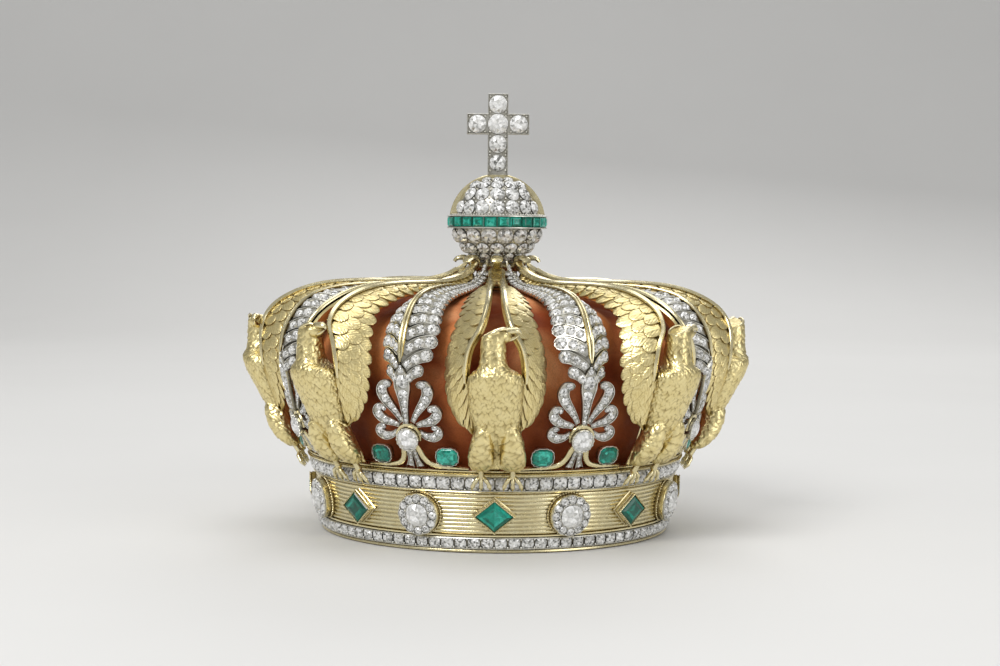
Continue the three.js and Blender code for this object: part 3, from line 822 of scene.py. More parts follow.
def plumage(across, down):
    """Height, 0 to 1, of overlapping short feathers on a skin measured in rows down and columns across."""
    best = np.zeros_like(across)
    first = np.floor(down)
    for back in range(3):
        row = first - back
        shift = np.where(row % 2 == 0, 0.0, 0.5)
        nearest = np.floor(across - shift + 0.5)
        for beside in (-1, 0, 1):
            column = nearest + beside
            jitter = hashed(row, column, 1)
            middle = column + shift + 0.35 * (jitter - 0.5)
            reach = 1.7 + 0.5 * hashed(row, column, 2)
            along = (down - row - 0.35 * hashed(row, column, 3)) / reach
            half = 0.62 * np.sqrt(np.clip(1 - np.clip(along, 0, 1) ** 3, 0, 1))
            share = (across - middle) / np.maximum(half, 1e-3)
            inside = (along > 0) & (along < 1) & (np.abs(share) < 1)
            lift = (0.15 + 0.85 * along) * (1 - 0.6 * share**2) - 0.1 * np.exp(-((share / 0.18) ** 2))
            lift = lift * (0.65 + 0.35 * jitter)
            best = np.where(inside, np.maximum(best, lift), best)
    return best


def rows_down(up):
    """Rows of feathers counted down from the crest: long on the neck, short and tight on the breast."""
    heights = np.linspace(20, 68, 97)
    row = np.interp(heights, [20, 34, 38, 48, 52, 64], [1.2, 1.15, 1.05, 1.0, 1.25, 1.15])
    count = np.concatenate([[0], np.cumsum(0.5 / row[:-1])])
    return count[-1] - np.interp(up, heights, count)


def eagle_form():
    """The body, head, thighs and tail fused into one plain skin: its points, normals and faces."""
    form = Shape()
    add_limb(form, TORSO)
    add_limb(form, TAIL)
    for side in (1, -1):
        add_limb(form, THIGH, side, LEGS_ASIDE)
    add_egg(form, (1.2, 70.8, 60.3), (2.8, 2.9, 2.1))
    add_egg(form, (2.6, 70.9, 60.4), (1.5, 1.9, 1.6))
    for side in (-1, 1):
        add_egg(form, (side * 4.9, 68.2, 48.0), (2.4, 4.2, 2.5))
    return fused("eagle_form", form, EAGLE_VOXEL)


def eagle_skin():
    """The eagle's form with its plumage raised on it and the top of its head made flat."""
    points, normals, faces = eagle_form()
    across, out, up = points[:, 0], -points[:, 1], points[:, 2]
    height, torso_out, torso_across, torso_width, _ = np.array(TORSO).T
    beside = across - LEGS_ASIDE
    thigh = (up < 35.3) & (np.abs(beside) > 1.0 + 0.5 * np.clip(up - 31, 0, None))
    centre = np.where(thigh, np.sign(beside) * 4.1 + LEGS_ASIDE, np.interp(up, height, torso_across))
    around = np.arctan2(across - centre, np.maximum(out - np.interp(up, height, torso_out) + 1.5, -9))
    around = around * np.where(thigh, 3.3, np.interp(up, height, np.maximum(torso_width, 3.0)))
    wave = 0.35 * np.sin(1.3 * around + 0.6 * up) + 0.2 * np.sin(2.9 * around - 1.1 * up)
    pitch = np.interp(up, [20, 36, 50, 54], [1.45, 1.35, 1.3, 1.45])
    column = (around + 0.25 * np.sin(2.1 * up + around)) / pitch
    feathers = plumage(column + 40 * thigh * np.sign(beside), rows_down(up) + wave)
    depths = [0.5, 0.48, 0.42, 0.48, 0.55, 0.45, 0.25, 0.1]
    size = np.interp(up, [24, 36, 47, 50, 54, 58, 60.5, 62], depths)
    points = points + normals * ((feathers - 0.3) * size)[:, None]
    flat_top = np.minimum(60.35 + 0.42 * (points[:, 0] + 2.9), 62.4)
    points[:, 2] -= 0.9 * np.clip(points[:, 2] - flat_top, 0, None)
    skin = Shape()
    skin.add(points, faces, relief=np.clip(feathers * 1.9, 0.12, 1))
    return skin


def eagle_limbs():
    """The smooth parts: shins and claws, beak, brows and eyes."""
    limbs = Shape()
    for side in (-1, 1):
        middle = side * 4.25 + LEGS_ASIDE
        shin = through((middle, 60.0, 25.2), (middle, 58.9, 23.6), (middle, 58.0, 22.2), (middle, 57.6, 21.4))
        limbs.bar(shin, at(0, 1, 0.3), ROUND_BAR, [0.95, 0.9, 0.8, 0.75, 0.75, 0.8, 0.9, 0.8], 0.9, 8)
        for spread in (-2.35, 0.05, 2.45):
            spots = np.linspace(0, 1, 14)
            knuckle = 0.55 + 0.08 * np.cos(spots * 18)
            width = knuckle * np.where(spots > 0.72, np.clip((1.03 - spots) / 0.31, 0.12, 1), 1)
            toe = through(*((middle + share * spread, out, up) for share, out, up in TOE))
            limbs.bar(toe, at(0, 1, 0.4), ROUND_BAR, width, width, 14)
    for line, shares, widths, heights in BEAK:
        limbs.bar(through(*line), OUT, ROUND_BAR, (shares, widths), (shares, heights))
    for face in (-1, 1):
        brow = through(*((across, 70.6 + out * face, up) for across, out, up in BROW))
        widths, heights = (([0, 0.5, 1], [0.25, most, 0.3]) for most in (0.5, 0.4))
        limbs.bar(brow, at(0, 0.5 * face, 1), ROUND_BAR, widths, heights)
        limbs.bead(at(2.7, 70.8 + 1.9 * face, 61.0), 0.45, at(0.7, face, 0))
    return limbs


# Pairs of points up one wing, from its lowest feather to the hub: the leading rib and the feather tips.
WING = [
    ((5.4, 62.6, 34.0), (6.2, 62.3, 34.4)),
    ((5.9, 63.4, 36.0), (8.4, 61.8, 36.0)),
    ((6.4, 64.6, 38.8), (10.6, 61.4, 38.8)),
    ((7.0, 66.2, 43.0), (12.4, 61.2, 42.6)),
    ((7.3, 67.5, 47.6), (13.2, 61.0, 47.2)),
    ((7.3, 68.2, 52.2), (13.2, 60.6, 52.4)),
    ((6.3, 68.5, 57.0), (12.5, 59.5, 57.4)),
    ((3.9, 67.8, 61.2), (11.2, 57.6, 61.4)),
    ((2.6, 65.3, 64.8), (9.9, 54.5, 65.0)),
    ((1.9, 61.0, 67.7), (9.1, 50.2, 67.1)),
    ((1.6, 55.5, 69.9), (8.2, 45.2, 68.5)),
    ((1.5, 49.0, 71.2), (7.0, 39.5, 69.5)),
    ((1.4, 40.0, 71.8), (5.5, 33.0, 70.4)),
    ((1.3, 30.0, 71.9), (4.2, 25.5, 70.9)),
    ((1.2, 21.0, 72.3), (3.0, 19.0, 71.6)),
    ((1.1, 15.0, 73.6), (2.0, 14.4, 73.2)),
    ((1.0, 11.4, 75.4), (1.4, 11.2, 75.2)),
]
WING_CAMBER = 1.0


class WingSkin:
    """The surface of the right wing, by share of the way up its feather tips and share from rib to tip."""

    def __init__(self):
        self.rib = Curve([at(*rib) for rib, _ in WING])
        self.tip = Curve([at(*tip) for _, tip in WING])
        self.length = self.tip.length
        self.station = self.tip.run / self.tip.length

    def plain(self, s, t):
        share = np.interp(s, self.station, self.tip.raw)
        rib, tip = self.rib.by_station(share), self.tip.by_station(share)
        t = np.asarray(t)[..., None]
        return rib * (1 - t) + tip * t

    def normal(self, s, t):
        step = 0.012
        up = self.plain(np.clip(s + step, 0, 1), t) - self.plain(np.clip(s - step, 0, 1), t)
        out = self.plain(s, np.ones_like(t)) - self.plain(s, np.zeros_like(t))
        return unit(np.cross(out, up))

    def __call__(self, s, t, lift=0.0):
        s, t = np.broadcast_arrays(np.asarray(s, float), np.asarray(t, float))
        camber = WING_CAMBER * 4 * np.clip(t, 0, 1) * (1 - np.clip(t, 0, 1)) * np.clip((1 - s) * 3, 0, 1)
        height = np.asarray(camber + lift)
        return self.plain(s, t) + self.normal(s, t) * height[..., None]


def mirrored(values, sign=1):
    """A row of values that starts with these and comes back to the first of them, with this sign."""
    return np.array([*values, *(sign * value for value in values[-2::-1])])


# Across a feather from edge to edge: where its points stand, how high they are and how clear of hollows.
FEATHER_ACROSS = mirrored([-1, -0.97, -0.8, -0.42, -0.07, 0], -1)
FEATHER_DOME = mirrored([-0.5, -0.06, 0.05, 0.1, 0.1, 0.15])
FEATHER_RELIEF = mirrored([0.1, 0.45, 0.95, 1, 0.8, 1])


def feather(shape, skin, root, tip, half_width, low, high):
    """A broad round-ended feather that rises from low to high. Its ends are (share up, share out) on skin."""
    along = np.array([0, 0.15, 0.3, 0.45, 0.58, 0.68, 0.77, 0.85, 0.91, 0.96, 0.99, 1.0])
    s = root[0] + (tip[0] - root[0]) * along
    t = root[1] + (tip[1] - root[1]) * along
    path = skin(s, t)
    normals = skin.normal(s, np.clip(t, 0, 1))
    forward = unit(path[-1] - path[0])
    length = np.linalg.norm(path[-1] - path[0])
    end = np.clip((along - 0.5) / 0.5, 0, 1)
    taper = np.sqrt(np.clip(1.0 - end**2.2, 0.004, 1))
    widths = half_width * (0.92 + 0.08 * np.clip(along / 0.4, 0, 1)) * taper
    grid = np.zeros((len(along) + 1, len(FEATHER_ACROSS), 3))
    relief = np.tile(FEATHER_RELIEF, (len(along) + 1, 1))
    grain = np.zeros(relief.shape)
    for i in range(len(along)):
        side = unit(np.cross(forward, normals[i]))
        height = low + (high - low) * along[i] + FEATHER_DOME * (1 - 0.5 * end[i] ** 3)
        height = height + 0.06 * FEATHER_ACROSS
        grid[i] = path[i] + np.outer(FEATHER_ACROSS * widths[i], side) + np.outer(height, normals[i])
        grain[i] = 0.75 * np.abs(FEATHER_ACROSS) * widths[i] - 0.5 * along[i] * length
    grid[-1] = grid[-2] - 0.45 * normals[-1]
    grain[-1] = grain[-2]
    relief[-1] = 0.1
    relief[-2] = np.minimum(relief[-2], 0.6)
    shape.sheet(grid, relief, grain)


def wing_backing(feathers, skin):
    """A thin sheet behind the feathers, closed along its edges."""
    s, t = np.meshgrid(np.linspace(0.0, 1.0, 60), np.linspace(0.0, 1.0, 9), indexing="ij")
    inner = np.where(s < 0.19, -0.25, 0.0)
    t = inner + (0.9 - inner) * t
    front, back = skin(s, t, -0.1), skin(s, t, -0.8)
    feathers.sheet(front, 0.5)
    feathers.sheet(back[:, ::-1])
    every = slice(None)
    for edge in ((0, every), (-1, every), (every, 0), (every, -1)):
        feathers.sheet(np.stack([front[edge], back[edge]]))


def feather_layer(feathers, skin, offset, base, end, low, high, drop, first=0.0):
    """A layer of feathers up the wing, from share base to share end of its width, above the share first."""
    tip = 0.028 + offset
    number = 0
    while tip < 0.97:
        pitch = np.interp(tip, [0, 0.06, 0.2, 0.55, 0.8, 1], [2.6, 3.4, 3.9, 3.9, 3.4, 2.6]) / skin.length
        reach = np.linalg.norm(skin(tip + pitch / 2, end) - skin(tip - pitch / 2, end))
        sag = drop * (1 + 3.4 * np.clip((0.26 - tip) / 0.26, 0, 1) ** 0.8) * pitch
        flat = np.interp(tip, [0.4, 0.65], [1.0, 0.55])
        if tip >= first:
            wobble = 0.02 * math.sin(2.3 * number + 9 * end)
            root = (min(tip + sag, 1.0), base if base > 0 or tip < 0.12 else 0.06)
            lean = (end - base) * 6.5 / math.hypot((end - base) * 6.5, sag * skin.length)
            half_width = reach * (0.2 + 0.4 * lean)
            feather(feathers, skin, root, (tip, end + wobble), half_width, low * flat, high * flat)
        tip += pitch
        number += 1


def wing():
    """The feathers of the right wing over their backing, with its smooth leading rib."""
    skin = WingSkin()
    feathers, rib = Shape(), Shape()
    wing_backing(feathers, skin)
    feather_layer(feathers, skin, 0.0, 0.5, 0.985, 0.02, 0.3, 0.55)
    feather_layer(feathers, skin, 0.018, 0.2, 0.70, 0.2, 0.48, 0.6)
    feather_layer(feathers, skin, 0.005, -0.08, 0.38, 0.38, 0.62, 0.6, 0.03)

    spots = np.linspace(0.165, 1.0, 90)
    share = np.interp(spots, skin.rib.run / skin.rib.length, skin.rib.raw)
    normals = skin.normal(np.interp(share, skin.tip.raw, skin.station), np.zeros_like(spots))
    size = np.interp(spots, [0.165, 0.2, 0.9, 1.0], [0.3, 0.6, 0.66, 0.8])
    rib.sweep(skin.rib(spots) + normals * 0.8, normals, FLAT_BAR, 1.15 * size, size)

    # The strip that finishes the wing's lowest feathers beside the body.
    shares, strip = np.linspace(0.03, 0.21, 22), np.full(22, 0.03)
    width = np.interp(shares, [0.03, 0.08, 0.15, 0.21], [0.4, 0.8, 0.85, 0.5])
    feathers.sweep(skin(shares, strip, 0.1), skin.normal(shares, strip), FLAT_BAR, width, 0.45)
    return feathers, rib


def volute():
    """The bar that joins both ribs at the hub and curls outwards beside the orb."""
    shape = Shape()
    line = [(22, 72.9), (16, 73.9), (12.8, 75.2), (10.4, 76.6), (9.0, 77.8)]
    line += [(8.8, 78.8), (9.6, 79.4), (10.9, 79.5), (12.0, 79.1), (12.5, 78.4)]
    spots = np.linspace(0, 1, 40)
    path = through(*((0, out, up) for out, up in line))(spots)
    width = np.interp(spots, [0, 0.3, 0.5, 0.66, 0.8, 0.92, 1], [1.7, 1.6, 1.35, 1.0, 1.6, 1.9, 1.5])
    height = np.interp(spots, [0, 0.3, 0.6, 0.85, 1], [0.8, 1.2, 1.3, 1.0, 0.6])
    shape.sweep(path, np.cross(np.gradient(path, axis=0), [1, 0, 0]), FLAT_BAR, width, height)
    return shape


def arch_strap():
    """The flat strap behind the body that carries both wings down to the gallery rail."""
    shape = Shape()
    line = through((0, 54.4, 23.5), (0, 55.6, 27), (0, 58.0, 33), (0, 60.6, 40), (0, 62.2, 47))
    shape.bar(line, at(0, 1, -0.3), FLAT_BAR, ([0, 0.5, 1], [1.7, 1.8, 4.2]), 0.5, 20)
    return shape


def pair_of(half, *others):
    """A shape and its mirror image across the arch, with other shapes added."""
    both = Shape()
    both.add_shape(half)
    both.add_shape(half, mirror=True)
    for other in others:
        both.add_shape(other)
    return both


make_eight("eagle_plumage", eagle_skin(), CHASED, "eagle_body", angle=80)
make_eight("eagle_limbs", eagle_limbs(), GOLD, "eagle_body", angle=60)
feathers, rib = wing()
make_eight("wing_feathers", pair_of(feathers), CHASED, "eagle_wings", angle=48)
make_eight("wing_ribs", pair_of(rib, volute(), arch_strap()), GOLD, "eagle_wings", angle=40)


# ---- leaf arches ----

# The midrib of a leaf arch: distance out, height, and the length of the leaf to each side.
FROND = [
    (66.0, 47.6, 5.4),
    (65.9, 50.6, 6.8),
    (65.7, 52.8, 7.8),
    (64.6, 58.8, 8.9),
    (61.2, 64.7, 8.8),
    (56.2, 68.6, 7.8),
    (48.7, 70.7, 6.4),
    (38.4, 71.5, 4.7),
    (26.2, 71.7, 3.1),
    (17.0, 72.5, 2.2),
    (12.0, 74.4, 1.7),
    (9.4, 76.6, 1.6),
    (8.4, 79.0, 1.5),
]
FROND_SLOPE = math.radians(31)


class FrondSkin:
    """The folded surface of a leaf arch, by length along the midrib and length out from it."""

    def __init__(self):
        self.line = Curve([(r, z) for r, z, _ in FROND])
        stations = np.linspace(0, len(FROND) - 1, len(self.line.fine))
        self.chords = np.interp(stations, range(len(FROND)), [chord for _, _, chord in FROND])
        self.length = self.line.length

    def chord(self, s):
        return np.interp(s, self.line.run, self.chords)

    def frame(self, s):
        here = self.line(s / self.length)
        ahead = self.line(min(s + 0.4, self.length) / self.length) - self.line(max(s - 0.4, 0) / self.length)
        return here, ahead / np.linalg.norm(ahead)

    def point(self, s, reach, lift=0.0):
        """reach is positive on the leaf's right side and negative on its left."""
        (out, up), along = self.frame(s)
        fall = abs(reach) * math.sin(FROND_SLOPE) + 0.012 * reach * reach
        place = at(reach * math.cos(FROND_SLOPE), out - along[1] * fall, up + along[0] * fall)
        return place + self.normal(s, reach) * lift

    def normal(self, s, reach):
        _, along = self.frame(s)
        outward = at(0, along[1], -along[0])
        side = math.copysign(1, reach) if abs(reach) > 1e-6 else 0.0
        return unit(outward * math.cos(FROND_SLOPE) + side * np.array([1.0, 0, 0]) * math.sin(FROND_SLOPE))


def pinna(metal, stones, skin, side, start, rise, root, reach, pitch):
    """One side leaf: a rimmed silver blade that curves out from the midrib, its stones larger to the tip."""
    along = np.linspace(0, 1, 14)
    s = start + rise * (1 - (1 - along) ** 1.7)
    c = root + (reach - root) * along**1.1
    path = np.array([skin.point(a, side * b, 0.35) for a, b in zip(s, c)])
    normals = np.array([skin.normal(a, side * b) for a, b in zip(s, c)])
    walk, facing = Curve(path), Curve(normals)
    half = 0.5 * pitch * (0.52 + 0.5 * along**0.7)
    end = np.clip((along * walk.length - (walk.length - half[-1])) / half[-1], 0, 1)
    half = half * np.sqrt(1.001 - 0.96 * end**2)
    metal.sweep(path, normals, CHANNEL, half, 0.62)
    size = 0.43 * pitch
    travelled = walk.length - 0.5 * pitch
    while travelled > 0.7 and size > 0.34:
        spot = travelled / walk.length
        diamond(stones, walk(spot) + 0.12 * facing(spot), facing(spot), size)
        after = size * 0.84
        travelled -= size + after
        size = after


def frond():
    """A leaf arch: a smooth gold midrib with rimmed side leaves full of diamonds."""
    skin = FrondSkin()
    gold, metal, stones = Shape(), Shape(), Shape()
    s = 0.2
    while s < skin.length - 5:
        pitch = np.interp(s, [0, 6, 12, 26, 40, 60, 78], [3.5, 4.0, 4.1, 3.8, 3.1, 2.3, 1.9])
        rise = pitch * np.interp(s, [0, 10, 40, 78], [0.8, 1.25, 1.25, 1.0])
        grow = min(1.0, 0.85 + s / 30)
        root = np.interp(s, [0, 4, 7], [1.6, 0.8, 0.4])
        for side in (-1, 1):
            pinna(metal, stones, skin, side, s, rise, root, grow * skin.chord(s + rise), pitch)
        s += pitch
    first = 5.0
    last = skin.length - 26
    for a in np.arange(last - 1, skin.length - 1, 1.25):
        diamond(stones, skin.point(a, 0, 0.3), skin.normal(a, 0), 0.62)
    spots = np.linspace(first, last, 80)
    path = np.array([skin.point(a, 0, 0.6) for a in spots])
    normals = np.array([skin.normal(a, 0) for a in spots])
    width = np.interp(spots, [5, 7, 11, 30, 50, last], [0.25, 0.8, 1.08, 0.8, 0.5, 0.12])
    vein = [(-0.6, -0.8, 0), (0.6, -0.8, 0), (1, 0.1, 0.2), (0.8, 0.75), (0.4, 0.85), (0.12, 0.7)]
    vein += [(0, 0.25, 0), (-0.12, 0.7), (-0.4, 0.85), (-0.8, 0.75), (-1, 0.1, 0.2)]
    gold.sweep(path, normals, vein, width, np.interp(spots, [5, 12, 84], [0.4, 0.75, 0.5]))
    back = []
    for a in np.linspace(1.5, skin.length, 60):
        reach = max(skin.chord(a) - 2.2, 0.6) * min(1.0, 0.5 + a / 12)
        front = [skin.point(a, share * reach, -0.25) for share in (-1, -0.5, 0, 0.5, 1)]
        back.append(np.array(front + [skin.point(a, share * reach, -0.9) for share in (1, 0, -1)]))
    metal.loft(back, relief=[0.3, 0.3, 0.3, 0.3, 0.3, 1, 1, 1])
    return gold, metal, stones


gold, metal, stones = frond()
make_eight("frond_midrib", gold, GOLD, "frond_arch", between=True, angle=50)
make_eight("frond_silver", metal, SILVER, "frond_arch", between=True, angle=40)
make_eight("frond_diamonds", stones, DIAMOND, "frond_arch", between=True)


# ---- palmettes ----

HEART = (60.0, 32.0)
PALMETTE_LEAN = math.radians(15)
PALMETTE_NORMAL = unit(at(0, math.cos(PALMETTE_LEAN), -math.sin(PALMETTE_LEAN)))
BRACKET_NORMAL = unit(at(0, 0.84, -0.45))
SEAT_TURN = 9.7  # degrees from the palmette's middle to a cushion emerald
CUSHION = (3.0, 2.45)  # half width and half height of a cushion emerald

# The curled leaves on the right side: points (across, up) from the heart, and half widths.
UPPER_LEAF = [(1.5, 4.4), (2.6, 6.4), (4.0, 8.4), (5.7, 10.6), (6.7, 12.8), (6.2, 14.6), (4.8, 15.1)]
UPPER_LEAF += [(4.0, 14.4)]
MIDDLE_LEAF = [(2.6, 3.6), (4.2, 4.2), (5.9, 4.6), (7.7, 5.5), (8.8, 7.0), (8.3, 8.3), (7.1, 8.4), (6.7, 7.8)]
LOWER_LEAF = [(3.2, 2.0), (4.4, 1.0), (5.8, 0.5), (7.4, 0.5), (8.6, 1.4), (8.4, 2.6), (7.5, 2.9), (7.1, 2.4)]
SCROLLS = [
    (UPPER_LEAF, [0.6, 0.8, 1.1, 1.45, 1.6, 1.4, 1.1, 0.85]),
    (MIDDLE_LEAF, [0.6, 0.85, 1.1, 1.35, 1.4, 1.2, 0.95, 0.8]),
    (LOWER_LEAF, [0.55, 0.8, 1.1, 1.3, 1.3, 1.1, 0.9, 0.75]),
]

# The bracket's right leg and strut: points (across, height).
BRACKET_LEG = [(1.4, 30.6), (2.2, 28.8), (2.8, 26.8), (4.0, 25.1), (6.0, 24.3), (8.6, 24.0), (11.6, 23.9)]
BRACKET_LEG += [(14.5, 23.7)]
BRACKET_STRUT = [(0.6, 29.2), (0.8, 27.4), (1.05, 25.6), (1.5, 23.9)]


def on_palmette(p, q, lift=0.0):
    """A point of the palmette's plane, p across and q up from its heart."""
    out = HEART[0] + q * math.sin(PALMETTE_LEAN) + lift * math.cos(PALMETTE_LEAN)
    up = HEART[1] + q * math.cos(PALMETTE_LEAN) - lift * math.sin(PALMETTE_LEAN)
    return at(p, out - 0.006 * p * p, up)


def on_bracket(p, z):
    """A point of the bracket that spreads from the heart to the gallery rail."""
    return at(p, np.interp(z, [23.4, 25, 28, 30.5], [55.4, 56.2, 58.1, 59.9]), z)


def scroll(metal, stones, line, halves, lift=0.0):
    """A rimmed silver ribbon along a line in the palmette's plane, with a row of stones that fill it."""
    walk = Curve([(*point, half) for point, half in zip(line, halves)])
    places = walk(np.linspace(0, 1, 36))
    path = np.array([on_palmette(p, q, lift) for p, q, _ in places])
    end = np.clip((np.linspace(0, walk.length, 36) - walk.length + 0.8) / 0.8, 0, 1)
    metal.sweep(path, PALMETTE_NORMAL, CHANNEL, places[:, 2] * np.sqrt(1.02 - end**2), 0.62)

    def stone_size(half):
        return max(0.86 * half, 0.36)

    travelled = 0.4
    while travelled < walk.length - 0.7:
        spot = (travelled + stone_size(walk(travelled / walk.length)[2])) / walk.length
        if spot >= 1:
            break
        p, q, half = walk(spot)
        diamond(stones, on_palmette(p, q, lift + 0.2), PALMETTE_NORMAL, stone_size(half))
        travelled += 2 * stone_size(half)


def soft_square(count, half_width, half_height, power=0.72):
    flat = circle(count)
    return np.sign(flat) * np.abs(flat) ** power * [half_width, half_height]


def heart(gold, metal, stones):
    """The round diamond in the palmette's middle, in a grained silver collet with a gold band over it."""
    plane = Plane(on_palmette(0, -0.1, 0.2), PALMETTE_NORMAL)
    levels = [(-0.3, -1.4, 0), (0.0, 0.2, 0.2), (0.25, 1.2, 1)]
    levels += [(0.25, 1.55, 1), (0.05, 1.65, 1), (-0.25, 1.45, 0)]
    metal.wall(plane, scalloped(circle(64, 3.0), 16, 0.02), levels)
    metal.beads(plane(circle(16, 3.08), 1.5), 0.34, PALMETTE_NORMAL)
    brilliant(stones, plane(height=1.5)[0], PALMETTE_NORMAL, 2.82, squareness=0.15, lift=0.36)
    angles = np.linspace(-1.8, 1.8, 24)
    path = [on_palmette(3.45 * math.sin(a), 3.45 * math.cos(a) + 0.2, 0.1) for a in angles]
    gold.sweep(path, PALMETTE_NORMAL, FLAT_BAR, np.interp(angles, [-1.8, 0, 1.8], [0.3, 0.75, 0.3]), 0.7)


def bracket(gold, metal, stones, side):
    """One side of the bracket: a gold leg along the rail, a set strut and the collet of an emerald."""
    leg = Curve([on_bracket(side * p, z) - at(0, 0.0104 * p * p, 0) for p, z in BRACKET_LEG])
    gold.bar(leg, BRACKET_NORMAL, FLAT_BAR, ([0, 0.4, 0.7, 1], [0.85, 0.8, 0.5, 0.25]), 0.6, 30)
    strut = Curve([on_bracket(side * p, z) for p, z in BRACKET_STRUT])
    metal.bar(strut, BRACKET_NORMAL, CHANNEL, [0.7] * 8 + [0.8, 0.9, 1.0, 1.1], 0.5)
    for share in np.linspace(0.08, 0.94, 5):
        small_stone(stones, strut(share) + 0.15 * BRACKET_NORMAL, BRACKET_NORMAL, 0.56)
    seat = emerald_seat(side)
    levels = [(-0.4, -1.6, 0), (0.05, -0.3, 0.3), (0.22, 0.4, 1)]
    levels += [(0.2, 0.72, 1), (0.08, 0.76, 1), (-0.12, 0.5, 0)]
    metal.wall(seat, scalloped(soft_square(56, *CUSHION), 14, 0.03), levels)
    stem = Curve([seat([(0, -1.8)], -0.6)[0], turned(at(0, 55.4, 23.6), side * SEAT_TURN)])
    gold.bar(stem, seat.normal, FLAT_BAR, 0.6, 0.6, 4)


def palmette():
    """The palmette: a spear and three curled leaves to each side over a set heart, and its bracket."""
    gold, metal, stones = Shape(), Shape(), Shape()
    spear = [(0, 4.2), (0, 8), (0, 11.5), (0, 14.6), (0, 17), (0, 19), (0, 20.6)]
    scroll(metal, stones, spear, [0.65, 1.0, 1.55, 2.3, 2.1, 1.3, 0.4], lift=0.9)
    for side in (-1, 1):
        for line, halves in SCROLLS:
            scroll(metal, stones, [(side * p, q) for p, q in line], halves)
    heart(gold, metal, stones)
    for side in (-1, 1):
        bracket(gold, metal, stones, side)
    return gold, metal, stones


def emerald_seat(side):
    """Where a cushion emerald sits beside the bracket."""
    return Plane(turned(at(0, 57.3, 27.0), side * SEAT_TURN), turned(at(0, 0.94, -0.25), side * SEAT_TURN))


def cushion_pair(*tones):
    """The cushion emeralds on the left and right of a palmette, by their tones."""
    shape = Shape()
    for side, tone in zip((-1, 1), tones):
        step_cut(shape, emerald_seat(side).raised(0.62), soft_square(16, *CUSHION)[1::2], 0.65, tone)
    return shape


gold, metal, stones = palmette()
make_eight("palmette_bracket", gold, GOLD, "palmette", between=True, angle=50)
make_eight("palmette_silver", metal, SILVER, "palmette", between=True, angle=40)
make_eight("palmette_diamonds", stones, DIAMOND, "palmette", between=True)
left_tones = (0.8, 0.4, 0.5, 0.6, 0.7, 0.45, 0.6, 0.36)
right_tones = (0.62, 0.6, 0.7, 0.4, 0.5, 0.65, 0.5, 0.8)
cushions = [cushion_pair(*tones) for tones in zip(left_tones, right_tones)]
make_eight("palmette_emeralds", cushions, EMERALD, "palmette", between=True)


# ---- orb and cross ----

ORB_CENTRE = 90.2
HOOP_RADIUS = 12.8
BOWL = [(12.75, 88.4), (12.35, 86.5), (11.3, 84.5), (9.8, 82.5), (7.9, 80.5), (5.8, 78.9), (3.2, 78.0)]
DOME = [(11.9, 92.2), (11.6, 94.4), (10.7, 97.2), (8.9, 99.8), (6.3, 101.6), (3.3, 102.7), (0.6, 103.0)]


def pave(metal, stones, profile, rows, clear=0.0):
    """Rows of stones round a turned surface: (share along the profile, count, size, start angle) for each.

    clear is the half width of a strip to leave free on both sides, where the hoop passes.
    """
    line = Curve(profile)

    def spot(share, turn, lift):
        """A point of the surface and the way it faces."""
        r, z = line(share)
        dr, dz = line(min(share + 0.02, 1)) - line(max(share - 0.02, 0))
        facing = turned(unit(at(0, abs(dz), math.copysign(dr, -dr * dz))), turn)
        return turned(at(0, r, z), turn) + lift * facing, facing

    for share, count, size, start in rows:
        for i in range(count):
            turn = start + 360 * i / count
            place, facing = spot(share, turn, 0.1)
            if clear and abs(place[1]) < clear + 0.8 * size:
                continue
            diamond(stones, place, facing, size * (0.97 + 0.06 * rng.random()))
            for step in (-1, 1):
                grain, facing = spot(share + step * size * 0.72 / line.length, turn + 180 / count, 0.05)
                metal.bead(grain, GRAIN, facing)


def orb_half(points, profile, rows, clear=0.0):
    """Half of the orb, turned from a profile, with rows of stones along the points of its outside."""
    metal, stones = Shape(), Shape()
    metal.lathe(profile, 64)
    pave(metal, stones, points, rows, clear)
    return metal, stones


def skin_of(points, count):
    """The smooth outside of half of the orb, with a relief that darkens it a little all over."""
    return [(*point, 0.35) for point in Curve(points)(np.linspace(0, 1, count))]


def bowl():
    rows = ((0.16, 16, 2.34, 11.25), (0.45, 15, 2.0, 0), (0.685, 13, 1.6, 0), (0.87, 10, 1.3, 18))
    return orb_half(BOWL, [(3.0, 88.4), *skin_of(BOWL, 16), (3.0, 78.3)][::-1], rows)


def dome():
    rows = ((0.13, 16, 2.2, 0), (0.37, 14, 2.15, 0), (0.595, 11, 1.95, 0), (0.80, 7, 1.6, 0))
    return orb_half(DOME, [(0.4, 92.2), *skin_of(DOME, 20)], rows, clear=1.2)


def belt():
    """The belt of square emeralds between two thin edges, with grains along its upper one."""
    metal, stones = Shape(), Shape()
    low, high = ORB_CENTRE - 1.95, ORB_CENTRE + 1.95
    profile = [(12.4, low), (14.5, low), (14.85, low + 0.15), (14.85, low + 0.4), (14.1, low + 0.5, 0)]
    profile += [(14.1, high - 0.5, 0), (14.85, high - 0.4), (14.85, high - 0.15), (14.5, high), (12.4, high)]
    grains = 96
    metal.lathe(profile, grains)
    metal.beads([turned(at(0, 13.55, high), 360 * i / grains) for i in range(grains)], 0.42)
    count = 24
    half = math.pi * 14.3 / count - 0.08
    outline = [(half, -1.5), (half, 1.5), (-half, 1.5), (-half, -1.5)]
    for i in range(count):
        turn = 360 * (i + 0.5) / count
        plane = Plane(turned(at(0, 14.35, ORB_CENTRE), turn), turned(OUT, turn))
        step_cut(stones, plane, outline, 0.5, 0.5 + 0.35 * rng.random())
    return metal, stones


